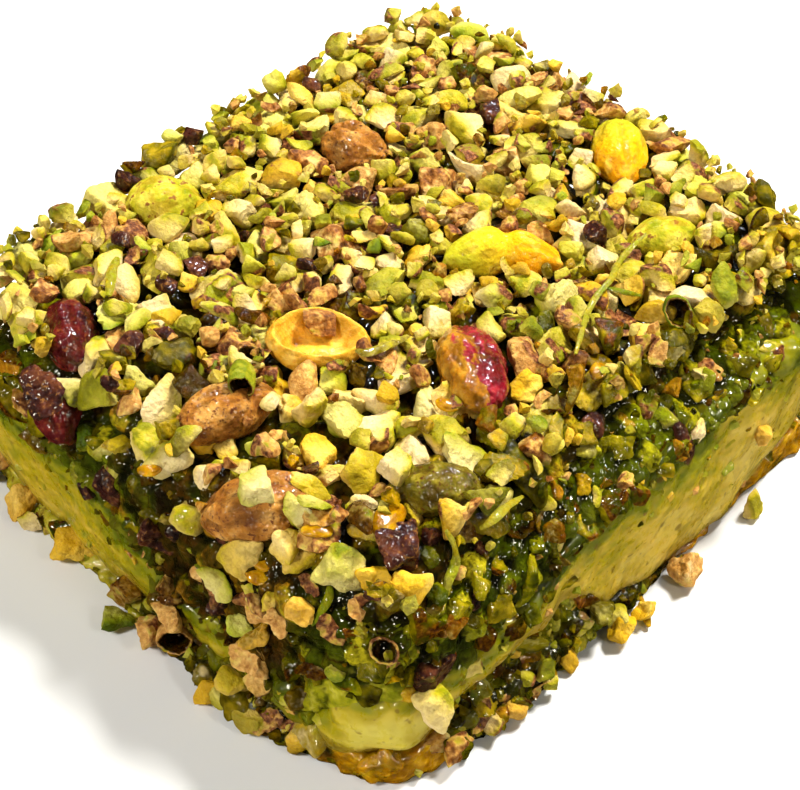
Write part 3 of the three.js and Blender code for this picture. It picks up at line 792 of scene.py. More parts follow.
def kernel_look(name):
    """A whole kernel. Its attribute look holds the share along its length, the ridge height and the side."""
    skin = SKINS[name]
    look = Look(
        "kernel_" + name, Specular_IOR_Level=0.08, **coat(*skin["coat"], 1.4),
        **flesh(0.15, (1.0, 0.7, 0.25), 1.2))
    along, ridge, side = look.parts("look")
    patch = look.noise(2.4, 3)
    fine = look.noise(0.6, 3)
    if name == "yellow":
        base, spots = look.ramp(
            along, (0.2, (190, 182, 34)), (0.45, (226, 190, 30)), (0.6, (240, 176, 14)),
            (0.9, (240, 160, 12))), patch
    else:
        base, spots = look.tones(patch, *skin["tones"]), look.noise(1.2) if name == "green" else fine
    colour = look.mix(look.span(spots, *skin["flecks"]), base, skin["fleck"])
    if name == "red":
        amber = look.tones(patch, (120, 66, 8), (178, 116, 22), (206, 160, 56))
        where = look.plus(side, look.span(patch, 0.3, 0.7, -0.22, 0.22))
        colour = look.mix(look.span(where, 0.5, 0.4), colour, amber)
    # Painted shade: the grooves between the skin's ridges are darkened with a deeper colour
    groove_shade, relief = ((150, 104, 14), 0.3) if name in PALE_SKINS else ((64, 30, 8), 0.55)
    colour = look.mix(look.span(ridge, 0.0, -0.5, 0, 0.45), colour, groove_shade)
    look.bump(look.noise(1.1, 1), relief, coat=True)
    look.bump(fine, 0.25)
    return look.finish(Base_Color=colour, Roughness=look.span(fine, 0.3, 0.7, 0.25, 0.5))


PASTE = paste_look("paste", (110, 112, 16))
GROUND_NUT = paste_look("ground_pistachio", (82, 76, 18))
CREAM = cream_look()
PASTRY = pastry_look()
NUT = nut_look("chopped_nut", Specular_IOR_Level=0.18)
WET_NUT = nut_look("wet_nut", Specular_IOR_Level=0.08, **coat(0.7, 0.08, 1.45))
KERNEL_LOOKS = {name: kernel_look(name) for name in SKINS}
DARK_NUT = KERNEL_LOOKS["dark"]


# The soft layers

def lumpy(points, sizes, amounts):
    """Granular relief in mm, the coarse grains' height and their numbers."""
    found = [grains(points, size, seed=7 * k) for k, size in enumerate(sizes)]
    total = sum(amount * dome * (0.25 + own) for amount, (dome, own) in zip(amounts, found))
    return total, *found[0]


def lobe_share(points):
    """How much points are on the cream's lobe at the near corner, from 0 to 1."""
    turn = off_corner(direction(points))
    return np.exp(-(((turn - 1) / 9) ** 4)) * (1 - smooth_step(points[:, 2], 9, 15))


def brownness(at):
    """How much browner the nuts are there: most on the -Y side, towards the near corner."""
    return 0.75 * smooth_step(-at[1], 12, 42) * smooth_step(34 - at[0], 0, 14) * smooth_step(at[0], -20, 6)


def make_pastry():
    def toe_top(a):
        return np.minimum(pastry_rim(a), cream_hem(a)) - 2 * GAP

    points, faces = loft([
        middle_ring(0),
        ring(pastry_inset, 0, inward=0.6),
        ring(pastry_inset, 1),
        ring(pastry_inset, toe_top, inward=0.5),
        ring(covered_inset, lambda a: np.maximum(toe_top(a) + 0.1, pastry_rim(a) - 0.7), inward=0.5),
        ring(covered_inset, pastry_rim, inward=1.4),
        *inner_rings(PASTRY_TOP),
    ], rounding=1)
    flat = points * [1, 1, 3.2]
    sheets = 0.3 * noise(flat, 2.2, 3) + 0.14 * noise(flat, 0.9, 4)
    ragged = 0.8 * noise(points, 4.5, 5) + 0.5 * noise(points, 1.8, 6) + 0.2 * noise(points, 0.8, 9)
    angle = direction(points)
    green = around(GREEN_TOE, angle)
    lumps, _, own = lumpy(points, (2.0, 1.1), (1.0, 0.4))
    relief = sheets * (1 - green) + ragged + green * (lumps - 0.2)
    moved = moved_out(points, faces, relief * away_from_floor(points, 0.6))
    look = columns(green, around(CREAMY_TOE, angle), own)
    add_piece("pastry_sheets", moved, faces, PASTRY, {"look": look}, replaces=["pastry_base"])
    return moved, faces


def make_ground_nut():
    def bulging(a):
        return covered_inset(a) - 1.8 * around(GREEN_TOE, a)

    points, faces = loft([
        middle_ring(PASTRY_TOP + GAP),
        ring(bulging, pastry_rim, inward=0.5, up=GAP),
        ring(bulging, lambda a: (pastry_rim(a) + ground_nut_rim(a)) / 2),
        ring(bulging, ground_nut_rim, inward=0.5),
        *inner_rings(GROUND_NUT_TOP),
    ], rounding=1)
    relief, dome, own = lumpy(points, (1.3, 0.7), (0.7, 0.25))
    moved = moved_out(points, faces, relief + 0.5 * noise(points, 4, 8) - 0.2)
    look = columns(dome, own, np.full(len(points), 0.3))
    add_piece(
        "ground_nut_band", moved, faces, GROUND_NUT, {"look": look},
        replaces=["ground_pistachio_layer"])
    return moved, faces


def make_cream():
    def inner(a):
        return covered_inset(a) - GAP - 0.1

    def under(a):
        return ground_nut_rim(a) + GAP

    def low_hem(a):
        drips = noise(outline_points(a), 4, 14)
        return np.maximum(cream_hem(a) - around(CREAM_DROP, a) * (1 + 0.7 * drips), 1.2)

    def up_to(share):
        return lambda a: low_hem(a) + (paste_hem(a) - 2 * GAP - low_hem(a)) * share

    points, faces = loft([
        middle_ring(GROUND_NUT_TOP + GAP),
        ring(covered_inset, under, inward=0.3),
        ring(inner, lambda a: np.minimum(under(a) - 0.1, low_hem(a) + 3)),
        ring(lambda a: (inner(a) + cream_inset(a)) / 2, low_hem),
        ring(cream_inset, low_hem, up=0.8),
        ring(cream_belly, up_to(0.45)),
        ring(cream_belly, up_to(0.75)),
        ring(cream_inset, paste_hem, up=1.2),
        ring(cream_neck, paste_hem, up=2.2),
        ring(cream_neck, lambda a: np.maximum(cream_rim(a), paste_hem(a) + 2.4), inward=1),
        *inner_rings(CREAM_TOP),
    ], rounding=3)
    angle = direction(points)
    below_paste = paste_hem(angle) - points[:, 2] + 1.2 * noise(points * [0.6, 0.6, 1], 2.4, 16)
    swells = 0.9 * noise(points, 7, 10) + 0.35 * noise(points, 3.2, 11) + 0.05 * noise(points, 1.1, 12)
    lump, _ = grains(points, 2.6, 5)
    lobe = lobe_share(points)
    near_paste = np.exp(-np.maximum(below_paste, 0) / (4.5 - 3.3 * lobe))
    relief = swells + 0.8 * lump * near_paste + lobe * (1.5 + 1.1 * noise(points, 4.5, 17))
    moved = moved_out(points, faces, relief * away_from_floor(points, 1.5))
    smear = 0.14 + near_paste * (0.7 - 0.25 * lobe) + 0.22 * noise(points, 9, 13)
    smear += lobe * (0.6 * noise(points, 4, 15) + 0.06)
    smear += 0.12 * smooth_step(-points[:, 1], 30, 42) * smooth_step(12 - points[:, 0], 0, 20)
    hem = 1 - smooth_step(points[:, 2] - cream_hem(angle), 0.2, 2.4)
    look = columns(np.clip(smear, 0, 1), lobe, hem)
    add_piece("cream_slab", moved, faces, CREAM, {"look": look}, replaces=["cream_layer"])
    return moved, faces


def make_paste():
    def drip(a):
        place = outline_points(a)
        low = 5 * np.exp(-(((np.degrees(a) % 360 - 284) / 18) ** 4))
        lobe = np.exp(-(off_corner(a) / 10) ** 4)
        ragged = 1.9 * np.maximum(0, noise(place, 3.6, 20)) + 1.0 * noise(place, 9, 21)
        return (0.9 + low + ragged) * (1 - 1.2 * lobe)

    def low_edge(a):
        return np.maximum(paste_hem(a) - drip(a), cream_hem(a) + 0.6)

    def outer(phase):
        return lambda a: paste_inset(a) + 0.45 * wave(a, phase)

    def side_at(share):
        return lambda a: low_edge(a) + 1.2 + (paste_height(a, 0) - low_edge(a) - 1.2) * share

    def on_top(inward):
        return ring(paste_inset, lambda a: paste_height(a, paste_inset(a) + inward), inward=inward)

    points, faces = loft([
        middle_ring(CREAM_TOP - 1),
        ring(cream_neck, CREAM_TOP - 1, inward=3, every=4),
        ring(cream_neck, low_edge, inward=-GAP, up=0.6, every=4),
        ring(cream_belly, low_edge, inward=0.9),
        ring(cream_belly, low_edge, inward=-0.15, up=0.9),
        ring(outer(3.8), side_at(0.3)),
        ring(outer(6.6), side_at(0.75)),
        *[on_top(inward) for inward in (0, 1.2, 3.2, 6, 8.5)],
        *inner_rings(PASTE_TOP - 0.3),
    ], rounding=2)
    relief, dome, own = lumpy(points, (2.7, 1.5, 0.8), (1.25, 0.75, 0.35))
    above = points[:, 2] - low_edge(direction(points))
    creamy = lobe_share(points - [0, 0, 3.5])
    relief = (relief + 0.7 * noise(points, 6, 22) - 0.75) * (1 - 0.8 * creamy) + 0.5 * creamy
    moved = moved_out(points, faces, relief * smooth_step(above, -0.3, 2.2) * away_from_floor(points))
    look = columns(dome, own, 1 - smooth_step(above, 0.5, 5.0))
    attributes = {"look": look, "warm": 0.85 * brownness(points.T), "creamy": creamy}
    add_piece("paste_skirt", moved, faces, PASTE, attributes, replaces=["pistachio_paste"])
    return moved, faces


# The bed's flat middle: each ring's share of the outline, and one point in how many
BED_RINGS = [(RIM_SHARE, 1), (RIM_SHARE - 0.01, 2), (0.3, 2), (0.29, 4), (0.15, 4), (0.14, 8), (0.05, 8)]


def make_bed():
    def paste_at(inward):
        return lambda a: paste_height(a, bed_inset(a) + inward)

    def over(inward):
        return ring(
            bed_inset, lambda a: paste_at(inward)(a) + bed_thickness(a, inward) - 0.5, inward=inward)

    points, faces = loft([
        middle_ring(PASTE_TOP - 1.5),
        ring(bed_inset, paste_at(1), inward=1, up=-1.2, every=4),
        ring(bed_inset, paste_at(0), inward=-0.3, up=-0.6),
        over(0.6),
        over(3),
        *[middle_ring(PASTE_TOP + BED_THICKNESS - 0.9, share, every) for share, every in BED_RINGS],
    ], rounding=2)
    relief, dome, own = lumpy(points, (2.9, 1.5, 0.8), (1.2, 0.7, 0.3))
    moved = moved_out(points, faces, relief + 0.8 * noise(points, 8, 30) - 1.0)
    attributes = {"look": columns(dome, own, 0 * own), "warm": np.full(len(points), 0.5)}
    add_piece("topping_bed", moved, faces, PASTE, attributes)
    return moved, faces


# Chopped nuts

KERNEL_HALF = np.array([8.2, 4.0, 3.8])
CHUNK_SIZE = 1.8  # mm from a piece's middle to its farther side
CHUNK_TRIANGLES = 320
CRUMB_TRIANGLES = 56
CRUMB_COUNT = 24
FLAKE_COUNT = 12
FLAKE_POINTS = 18

# How many pieces of each form, and their half sizes, depth in the kernel, bend and sharpness of edges
CHUNK_FORMS = {
    "block": (16, dict(shape=(1.0, 0.8, 0.66), sink=(0.25, 1.1), bend=0.05, power=(11, 20))),
    "slice": (10, dict(shape=(1.15, 0.85, 0.34), sink=(0.3, 1.2), bend=0.1, power=(9, 18))),
    "shard": (9, dict(shape=(1.5, 0.5, 0.42), sink=(0.2, 0.8), bend=0.08, power=(9, 18))),
    "knob": (7, dict(shape=(0.95, 0.85, 0.8), sink=(0.9, 1.6), bend=0.04, power=(5, 9))),
    "bean": (8, dict(shape=(1.4, 0.75, 0.6), sink=(0.5, 1.2), bend=0.12, power=(4, 7))),
}


def out_of_kernel(start, directions):
    """How far it is from a point inside the kernel to its surface."""
    o, d = start / KERNEL_HALF, directions / KERNEL_HALF
    a, b, c = (d * d).sum(1), d @ o, o @ o - 1
    return (-b + np.sqrt(np.maximum(b * b - a * c, 0))) / a


def depth_in_kernel(points):
    """About how many mm below the kernel's surface points lie."""
    return np.maximum(0, (1 - np.linalg.norm(points / KERNEL_HALF, axis=1)) * 3.9)


def unit(vectors):
    return vectors / np.linalg.norm(vectors, axis=-1, keepdims=True)


def any_turn(draw):
    """A turn of three axes, drawn evenly."""
    turn, _ = np.linalg.qr(draw.normal(size=(3, 3)))
    turn[:, 0] *= np.sign(np.linalg.det(turn))
    return turn


def fewer_triangles(points, faces, count):
    """The same surface with about that many triangles."""
    mesh = bpy.data.meshes.new("fine")
    mesh.from_pydata(points.tolist(), [], faces.tolist())
    holder = bpy.data.objects.new("fine", mesh)
    bpy.context.scene.collection.objects.link(holder)
    modifier = holder.modifiers.new("fewer", "DECIMATE")
    modifier.ratio = count / len(faces)
    modifier.use_collapse_triangulate = True
    shown = holder.evaluated_get(bpy.context.evaluated_depsgraph_get())
    coarse = shown.to_mesh()
    found = np.array([v.co[:] for v in coarse.vertices])
    triangles = np.array([f.vertices[:] for f in coarse.polygons])
    shown.to_mesh_clear()
    bpy.data.objects.remove(holder)
    bpy.data.meshes.remove(mesh)
    return found, triangles


def make_chunk(draw, shape, sink, bend, power):
    """A piece cut from a kernel by uneven faces: its fine points, and its coarse mesh with depths."""
    ball, ball_faces = ICOSPHERE
    outward = unit(draw.normal(size=3) * [0.7, 1, 1])
    surface = outward / np.linalg.norm(outward / KERNEL_HALF)
    middle = surface * (1 - CHUNK_SIZE * draw.uniform(*sink) / np.linalg.norm(surface))
    axes = any_turn(draw)
    normals = np.concatenate([axes.T, -axes.T, unit(draw.normal(size=(2, 3)))])
    normals = unit(normals + draw.normal(scale=0.24, size=normals.shape))
    reach = CHUNK_SIZE * np.concatenate([shape, shape, [0.95, 0.95]]) * draw.uniform(0.8, 1.15, 8)
    towards = ball @ normals.T
    to_planes = np.where(towards > 0.05, reach / np.maximum(towards, 0.05), 1e3)
    to_skin = out_of_kernel(middle, ball)
    power = draw.uniform(*power)
    total = (to_planes**-power).sum(1) + to_skin**-power
    radius = total ** (-1 / power)
    broken = 1 - (radius / to_skin) ** power
    place = ball * radius[:, None] + 40 * draw.random(3)
    rough = 0.26 * noise(place, 1.5, 40) + 0.15 * noise(place, 0.7, 41) + 0.06 * noise(place, 0.35, 42)
    radius += rough * (0.35 + 0.65 * broken) * draw.uniform(0.6, 1.5)
    dent = smooth_step(ball @ unit(draw.normal(size=3)), 0.55, 0.95)
    radius *= 1 - draw.uniform(0, 0.34) * dent
    fine = ball * radius[:, None]
    _, flat_axes = np.linalg.eigh(np.cov(fine.T))
    flat_axes[:, 0] *= np.sign(np.linalg.det(flat_axes))
    lying = fine @ flat_axes[:, ::-1] * [1, 1, -1]
    coarse, faces = fewer_triangles(lying, ball_faces, CHUNK_TRIANGLES)
    curl = bend * draw.uniform(-1.2, 1.6)

    def form_of(points, triangles):
        depth = depth_in_kernel(points * [1, 1, -1] @ flat_axes[:, ::-1].T + middle)
        return dict(points=curled(points, curl), faces=triangles, depth=depth)

    return dict(form_of(coarse, faces), fine=form_of(lying, ball_faces))


def curled(points, curl):
    """Points bent up at the ends of X, and less at the ends of Y."""
    x, y, z = points.T
    return columns(x, y, z + curl * (x * x + 0.4 * y * y))


def turns_of(count):
    """Directions round a ring, in radians."""
    return np.arange(count) / count * FULL_TURN


def make_flake(draw):
    """A ragged, curled scrap of papery skin."""
    turns = turns_of(FLAKE_POINTS)
    lobes = 0.2 * np.sin(turns * 2 + draw.uniform(0, 6)) + 0.08 * np.sin(turns * 3 + draw.uniform(0, 6))
    border = 1.7 * (1 + lobes + draw.uniform(-0.14, 0.14, FLAKE_POINTS))
    middle = draw.uniform(-0.4, 0.4, 2)
    curl, twist = draw.uniform(0.12, 0.34), draw.uniform(-0.16, 0.16)
    own_place = 50 * draw.random()

    def ring_at(share, height):
        x = middle[0] + border * share * np.cos(turns)
        y = middle[1] + 0.7 * border * share * np.sin(turns)
        crinkle = 0.25 * noise(columns(x, y, 0 * x) + own_place, 1.3, 70)
        return columns(x, y, height + curl * x * x + twist * x * y + crinkle)

    lower = [ring_at(share, -0.07) for share in (0.3, 0.6, 0.85)]
    upper = [ring_at(share, 0.07) for share in (0.85, 0.6, 0.3)]
    points, faces = loft([*lower, ring_at(1.0, -0.03), ring_at(1.0, 0.03), *upper], rounding=0)
    flake = dict(points=points, faces=faces, depth=np.full(len(points), 0.05))
    return dict(flake, fine=flake)


def make_chunks(draw):
    """Pieces of each form."""
    chunks = {"flake": [make_flake(draw) for _ in range(FLAKE_COUNT)]}
    for name, (count, form) in CHUNK_FORMS.items():
        chunks[name] = [make_chunk(draw, **form) for _ in range(count)]
    return chunks


def make_crumbs(draw):
    """Small angular crumbs of a few triangles."""
    crumbs = []
    for k in range(CRUMB_COUNT):
        _, form = CHUNK_FORMS[("block", "knob", "block", "shard")[k % 4]]
        fine = make_chunk(draw, **form)["fine"]
        points, faces = fewer_triangles(fine["points"], ICOSPHERE[1], CRUMB_TRIANGLES)
        points = points / CHUNK_SIZE * draw.uniform([0.9, 0.8, 1.0], [1.2, 1.1, 1.4])
        crumb = dict(points=points, faces=faces, depth=np.full(len(points), 0.9))
        crumbs.append(dict(crumb, fine=crumb))
    return crumbs


class Heap:
    """Many small pieces that are joined into one mesh."""

    def __init__(self):
        self.points, self.faces, self.depth, self.tone, self.coat = [], [], [], [], []
        self.count = 0

    def add(self, chunk, turn, scale, at, tone, coat):
        """Adds a piece, shaped by a scale and a turn. Its coat holds skin, wetness and its own number."""
        points = chunk["points"] * scale @ turn.T + at
        self.points.append(points)
        self.faces.append(chunk["faces"] + self.count)
        self.depth.append(chunk["depth"] * float(np.mean(scale)))
        self.tone.append(np.broadcast_to(tone, points.shape))
        self.coat.append(np.broadcast_to(coat, points.shape))
        self.count += len(points)

    def build(self, name, material, slot, replaces=(), sharp=38):
        attributes = {key: np.concatenate(getattr(self, key)) for key in ("depth", "tone", "coat")}
        points, faces = np.concatenate(self.points), np.concatenate(self.faces)
        add_piece(name, points, faces, material, attributes, replaces, sharp)


def facing(normal):
    """A turn that brings +Z to a direction."""
    return np.array(Vector((0, 0, 1)).rotation_difference(Vector(normal)).to_matrix())


def spin(angle):
    c, s = math.cos(angle), math.sin(angle)
    return np.array([[c, -s, 0], [s, c, 0], [0, 0, 1]])


def wobble(draw, amount):
    """A small random turn, in radians."""
    axis = unit(draw.normal(size=3))
    return np.array(Matrix.Rotation(draw.normal() * amount, 3, Vector(axis)))


# Where the heap's pieces come to rest

class Relief:
    """Height of all that lies on the cake, on a square grid."""

    def __init__(self, meshes):
        self.half = np.array([int(reach / CELL) for reach in HEAP_REACH])
        points = np.concatenate([points for points, _ in meshes])
        faces, start = [], 0
        for found, triangles in meshes:
            faces.append(triangles + start)
            start += len(found)
        self.tree = BVHTree.FromPolygons(points.tolist(), np.concatenate(faces).tolist())
        size = 2 * self.half + 1
        self.height = np.zeros(size)
        for i in range(size[0]):
            for j in range(size[1]):
                x, y = (np.array([i, j]) - self.half) * CELL
                hit = self.tree.ray_cast(Vector((x, y, ABOVE_ALL)), Vector((0, 0, -1)))[0]
                self.height[i, j] = hit.z if hit else 0

    def footprint(self, points):
        """Lower and upper heights of a piece, cell by cell, and the first cell."""
        column = np.round(points[:, :2] / CELL).astype(int)
        first = column.min(0)
        size = column.max(0) - first + 1
        flat = (column[:, 0] - first[0]) * size[1] + column[:, 1] - first[1]
        under = np.full(size.prod(), np.inf)
        over = np.full(size.prod(), -np.inf)
        np.minimum.at(under, flat, points[:, 2])
        np.maximum.at(over, flat, points[:, 2])
        return first, under.reshape(size), over.reshape(size)

    def window(self, x, y, first, size):
        start = np.round(np.array([x, y]) / CELL).astype(int) + self.half + first
        start = np.clip(start, 0, 2 * self.half + 1 - size)
        return self.height[start[0]:start[0] + size[0], start[1]:start[1] + size[1]]

    def rest_height(self, x, y, footprint, share=0.86):
        """Height at which a piece rests there. It sinks in until only a share of it is clear."""
        first, under, _ = footprint
        here = self.window(x, y, first, under.shape)
        solid = np.isfinite(under)
        return np.quantile(here[solid] - under[solid], share)

    def slope(self, x, y, reach=1.6):
        """The surface's direction round a place."""
        n = int(reach / CELL)
        here = self.window(x, y, np.array([-n, -n]), (2 * n + 1, 2 * n + 1))
        dx, dy = np.gradient(here, CELL)
        lean = np.clip([-dx.mean(), -dy.mean()], -0.9, 0.9)
        return unit(np.array([lean[0], lean[1], 1.0]))

    def stamp(self, x, y, z, footprint):
        first, _, over = footprint
        here = self.window(x, y, first, over.shape)
        np.maximum(here, over + z, out=here)


def in_bed(x, y, margin):
    """Whether a place is inside the chopped bed's edge, by a margin in mm."""
    a = math.atan2(y, x)
    edge_x, edge_y = outline(a, bed_inset(a) + margin)
    return x * x + y * y < edge_x**2 + edge_y**2


def settle(relief, chunk, turn, scale, places):
    """Drops a piece at the lowest of some places, leaning as the heap does. Returns its turn and place."""
    footprint = relief.footprint(chunk["fine"]["points"] * scale @ turn.T)
    heights = [relief.rest_height(x, y, footprint) for x, y in places]
    x, y = places[int(np.argmin(heights))]
    turn = facing(relief.slope(x, y)) @ turn
    footprint = relief.footprint(chunk["fine"]["points"] * scale @ turn.T)
    z = relief.rest_height(x, y, footprint)
    relief.stamp(x, y, z, footprint)
    return turn, np.array([x, y, z])


# Ways to draw nuts

TOP_FORMS = {"block": 0.34, "slice": 0.2, "shard": 0.13, "knob": 0.12, "bean": 0.14, "flake": 0.07}
SIDE_FORMS = {"block": 0.36, "slice": 0.08, "shard": 0.06, "knob": 0.28, "bean": 0.18, "flake": 0.04}

# Each kind of nut: how likely it is, what moist and brown surroundings add to that, and its green share
NUT_KINDS = {
    "pale": (0.45, -0.34, -0.06, 0.12),
    "leafy": (0.34, 0.28, -0.3, 0.85),
    "gold": (0.09, 0.0, 0.0, 0.1),
    "brown": (0.07, 0.0, 0.2, 0.3),
    "skin": (0.05, 0.06, 0.16, 0.4),
}


def draw_tone(draw, moist=0.0, brown=0.0):
    """Green, golden and toasted shares, and skin, of one piece of nut. Moist pieces are greener."""
    usual, by_moist, by_brown, _ = np.array(list(NUT_KINDS.values())).T
    chances = np.maximum(usual + moist * by_moist + brown * by_brown, 0.02)
    kind = draw.choice(list(NUT_KINDS), p=chances / chances.sum())
    golden = {"gold": 0.85}.get(kind, draw.uniform(0, 0.3))
    toasted = {"brown": 1.0, "skin": 0.7}.get(kind, draw.uniform(0, 0.25))
    skin = {"brown": 1.0, "skin": 1.0}.get(kind, chance(draw, 0.4))
    green = float(np.clip(NUT_KINDS[kind][3] + draw.normal(scale=0.15), 0, 1))
    return np.array([green, golden, toasted]), skin


def chance(draw, share):
    """1 as often as the share says, and else 0."""
    return float(draw.random() < share)


def about(draw, middle, spread):
    """A share from 0 to 1 round a middle."""
    return float(np.clip(draw.normal(middle, spread), 0, 1))


def any_of(draw, things):
    return things[draw.integers(len(things))]


def any_chunk(draw, chunks, forms):
    form = draw.choice(list(forms), p=list(forms.values()))
    return any_of(draw, chunks[form]), form


def any_flake_look(draw):
    """Tone and skin of a scrap of papery skin."""
    return np.array([0.3, draw.uniform(0, 0.3), draw.uniform(0.4, 1.0)]), chance(draw, 0.6)


def any_side_nut(draw, chunks):
    """A nut for the sides, with its look where it is a scrap of skin."""
    chunk, form = any_chunk(draw, chunks, SIDE_FORMS)
    return chunk, any_flake_look(draw) if form == "flake" else None


def falling_sizes(draw, count, middle, spread, least, most):
    """Half sizes in mm, the largest first."""
    return np.sort(np.clip(draw.lognormal(math.log(middle), spread, count), least, most))[::-1]


# Nuts on top

TOP_NUTS = 590
FINE_NUTS = 90  # how many of the largest keep all their triangles
TOP_CRUMBS = 640
NUT_TRIES = 12  # places of which a nut takes the lowest
CRUMB_TRIES = 5


def places_in_bed(draw, count, kept_clear, margin):
    """Random places inside the bed's edge, away from what is kept clear."""
    places = []
    while len(places) < count:
        x, y = draw.uniform(-FOOT_X / 2, FOOT_X / 2), draw.uniform(-FOOT_Y / 2, FOOT_Y / 2)
        if in_bed(x, y, margin) and not any(covers(x, y) for covers in kept_clear):
            places.append((x, y))
    return places


def scatter_top(relief, chunks, draw, kept_clear):
    """The chopped nuts on top, from the largest to the smallest, and the dark ones among them."""
    heaps, dark = [Heap(), Heap(), Heap()], Heap()
    for k, size in enumerate(falling_sizes(draw, TOP_NUTS, 1.56, 0.33, 0.7, 2.5)):
        chunk, form = any_chunk(draw, chunks, TOP_FORMS)
        scale = size / CHUNK_SIZE * draw.uniform(0.88, 1.12, 3)
        turn = wobble(draw, 0.3) @ spin(draw.uniform(0, FULL_TURN))
        places = places_in_bed(draw, NUT_TRIES, kept_clear, max(0.2, size - 1.3))
        turn, at = settle(relief, chunk, turn, scale, places)
        tone, skin = draw_tone(draw, brown=brownness(at))
        if form == "flake":
            tone, skin = any_flake_look(draw)
        wet_chance = 0.14 + 0.75 * smooth_step(at[0], 18, 30) + 0.3 * noise(at[None], 14, 80)[0]
        wet_chance += 0.1 * smooth_step(at[0] - at[1], 42, 62)
        wet = draw.uniform(0.3, 1.0) if draw.random() < wet_chance else 0.0
        chosen = dark if size < 2 and draw.random() < 0.04 + 0.08 * brownness(at) else heaps[k % len(heaps)]
        shown = chunk["fine"] if k < FINE_NUTS else chunk
        chosen.add(shown, turn, scale, at, tone, [skin, wet, draw.random()])
    return heaps, dark


def scatter_crumbs(relief, crumbs, draw, kept_clear):
    """Crumbs of nut and skin in the gaps between the larger pieces."""
    heap = Heap()
    for _ in range(TOP_CRUMBS):
        crumb = any_of(draw, crumbs)
        scale = np.full(3, draw.uniform(0.3, 0.85))
        places = places_in_bed(draw, CRUMB_TRIES, kept_clear, -1.5)
        turn, at = settle(relief, crumb, any_turn(draw), scale, places)
        tone, _ = draw_tone(draw, brown=0.5 + brownness(at))
        wet = chance(draw, 0.35) * draw.uniform(0.4, 1)
        heap.add(crumb, turn, scale, at, tone, [chance(draw, 0.5), wet, draw.random()])
    return heap


# Nuts on the sides and round the foot

SOLID_NUT_DRAWS = 29  # numbers that each of the solids' nuts takes for its own shape


def wall_places(seed, count, smallest, biggest, inset_at, heights):
    """Places, outward directions and sizes of the nuts round the block, as in the solids."""
    draw = random_stream(seed)
    places = []
    for i in range(count):
        angle = (i + 0.15 + 0.7 * draw()) / count * FULL_TURN
        size = smallest + (biggest - smallest) * draw()
        low, high = heights(angle)
        x, y = outline(angle, inset_at(angle))
        next_x, next_y = outline(angle + 0.01, inset_at(angle))
        out = unit(np.array([next_y - y, x - next_x, 0]))
        places.append((np.array([x, y, low + (high - low) * draw()]), out, size))
        for _ in range(SOLID_NUT_DRAWS):
            draw()
    return places


def foot_places():
    return wall_places(47, 18, 1.8, 2.6, lambda a: min(pastry_inset(a), 0.6) - 0.7, lambda a: (1.1, 1.7))


def cream_nut_places():
    def heights(a):
        return cream_hem(a) + 1.8, max(cream_hem(a) + 2, paste_hem(a) - 3)

    return wall_places(5, 4, 1.3, 1.8, cream_inset, heights)


def side_nut_places():
    def heights(a):
        return paste_hem(a) + 2.8, paste_height(a, 0) - 0.8

    return wall_places(41, 20, 1.5, 2.3, lambda a: paste_inset(a) + 0.4, heights)


def add_nut(heap, draw, chunk, size, at, out, look=None, moist=0.0, wet=0.0):
    """A nut stuck to a surface with its flat side along it. Its lowest point stays above the floor."""
    is_fine = len(chunk["points"]) > CHUNK_TRIANGLES
    if is_fine:
        chunk = dict(chunk, points=chunk["points"] + relief_of(chunk["points"] * size / CHUNK_SIZE))
    scale = size / CHUNK_SIZE * draw.uniform(0.9, 1.1, 3)
    turn = facing(out) @ wobble(draw, 0.25) @ spin(draw.uniform(0, FULL_TURN))
    lowest = (chunk["points"] * scale @ turn.T)[:, 2].min() + at[2]
    tone, skin = draw_tone(draw, moist, brownness(at)) if look is None else look
    at = at + [0, 0, max(0, 0.03 - lowest)]
    heap.add(chunk, turn, scale, at, tone, [skin, wet, draw.random() * (1 - 0.9 * brownness(at))])


def relief_of(points):
    """Chips and ridges of a large piece."""
    height = 0.26 * noise(points, 1.7, 50) + 0.14 * noise(points, 0.8, 51) + 0.05 * noise(points, 0.4, 52)
    return unit(points) * height[:, None]


def soaked(at):
    """Whether a nut lies in the syrup at the near corner, where it looks as the pastry does."""
    return at[2] < 3 and at[0] - at[1] > 70


def add_solid_nuts(heap, chunks, draw):
    """The solids' nuts round the block, apart from the soaked one."""
    for at, out, size in foot_places() + cream_nut_places() + side_nut_places():
        if not soaked(at):
            chunk, look = any_side_nut(draw, chunks)
            add_nut(heap, draw, chunk["fine"], 0.85 * size, at, out, look=look, wet=0.1)


def surface_places(draw, surface, count, wanted):
    """Random places on a surface, and its directions there, more of them where wanted is higher."""
    points, faces = surface
    across = across_faces(points, faces)
    corners = points[faces]
    area = np.linalg.norm(across, axis=1)
    out = across / (area[:, None] + 1e-12)
    weight = area * wanted(corners.mean(1), out)
    chosen = draw.choice(len(faces), count, p=weight / weight.sum())
    shares = draw.dirichlet([1, 1, 1], count)
    return (corners[chosen] * shares[:, :, None]).sum(1), out[chosen]


def spaced(places, sizes, closeness):
    """Which places to keep so that no two pieces are too close, the first ones first."""
    kept = []
    for k, (place, size) in enumerate(zip(places, sizes)):
        if all(np.linalg.norm(place - places[j]) > closeness * (size + sizes[j]) for j in kept):
            kept.append(k)
    return kept


def is_taken(at, taken, share=1.0, margin=0.0):
    """Whether a marked piece is there."""
    return any(np.linalg.norm(at - spot) < share * size + margin for spot, size in taken)


def on_lobe(points):
    return lobe_share(points) > 0.12


def paste_sides(points, out):
    """Where nuts stick to the paste: its sides and its rim outside the chopped bed."""
    outside = beyond(points, bed_inset(direction(points)) + 1.0)
    sparse = 1 - 0.85 * brownness(points.T)
    return outside * (out[:, 2] > -0.4) * (points[:, 2] > 5) * ~on_lobe(points) * sparse


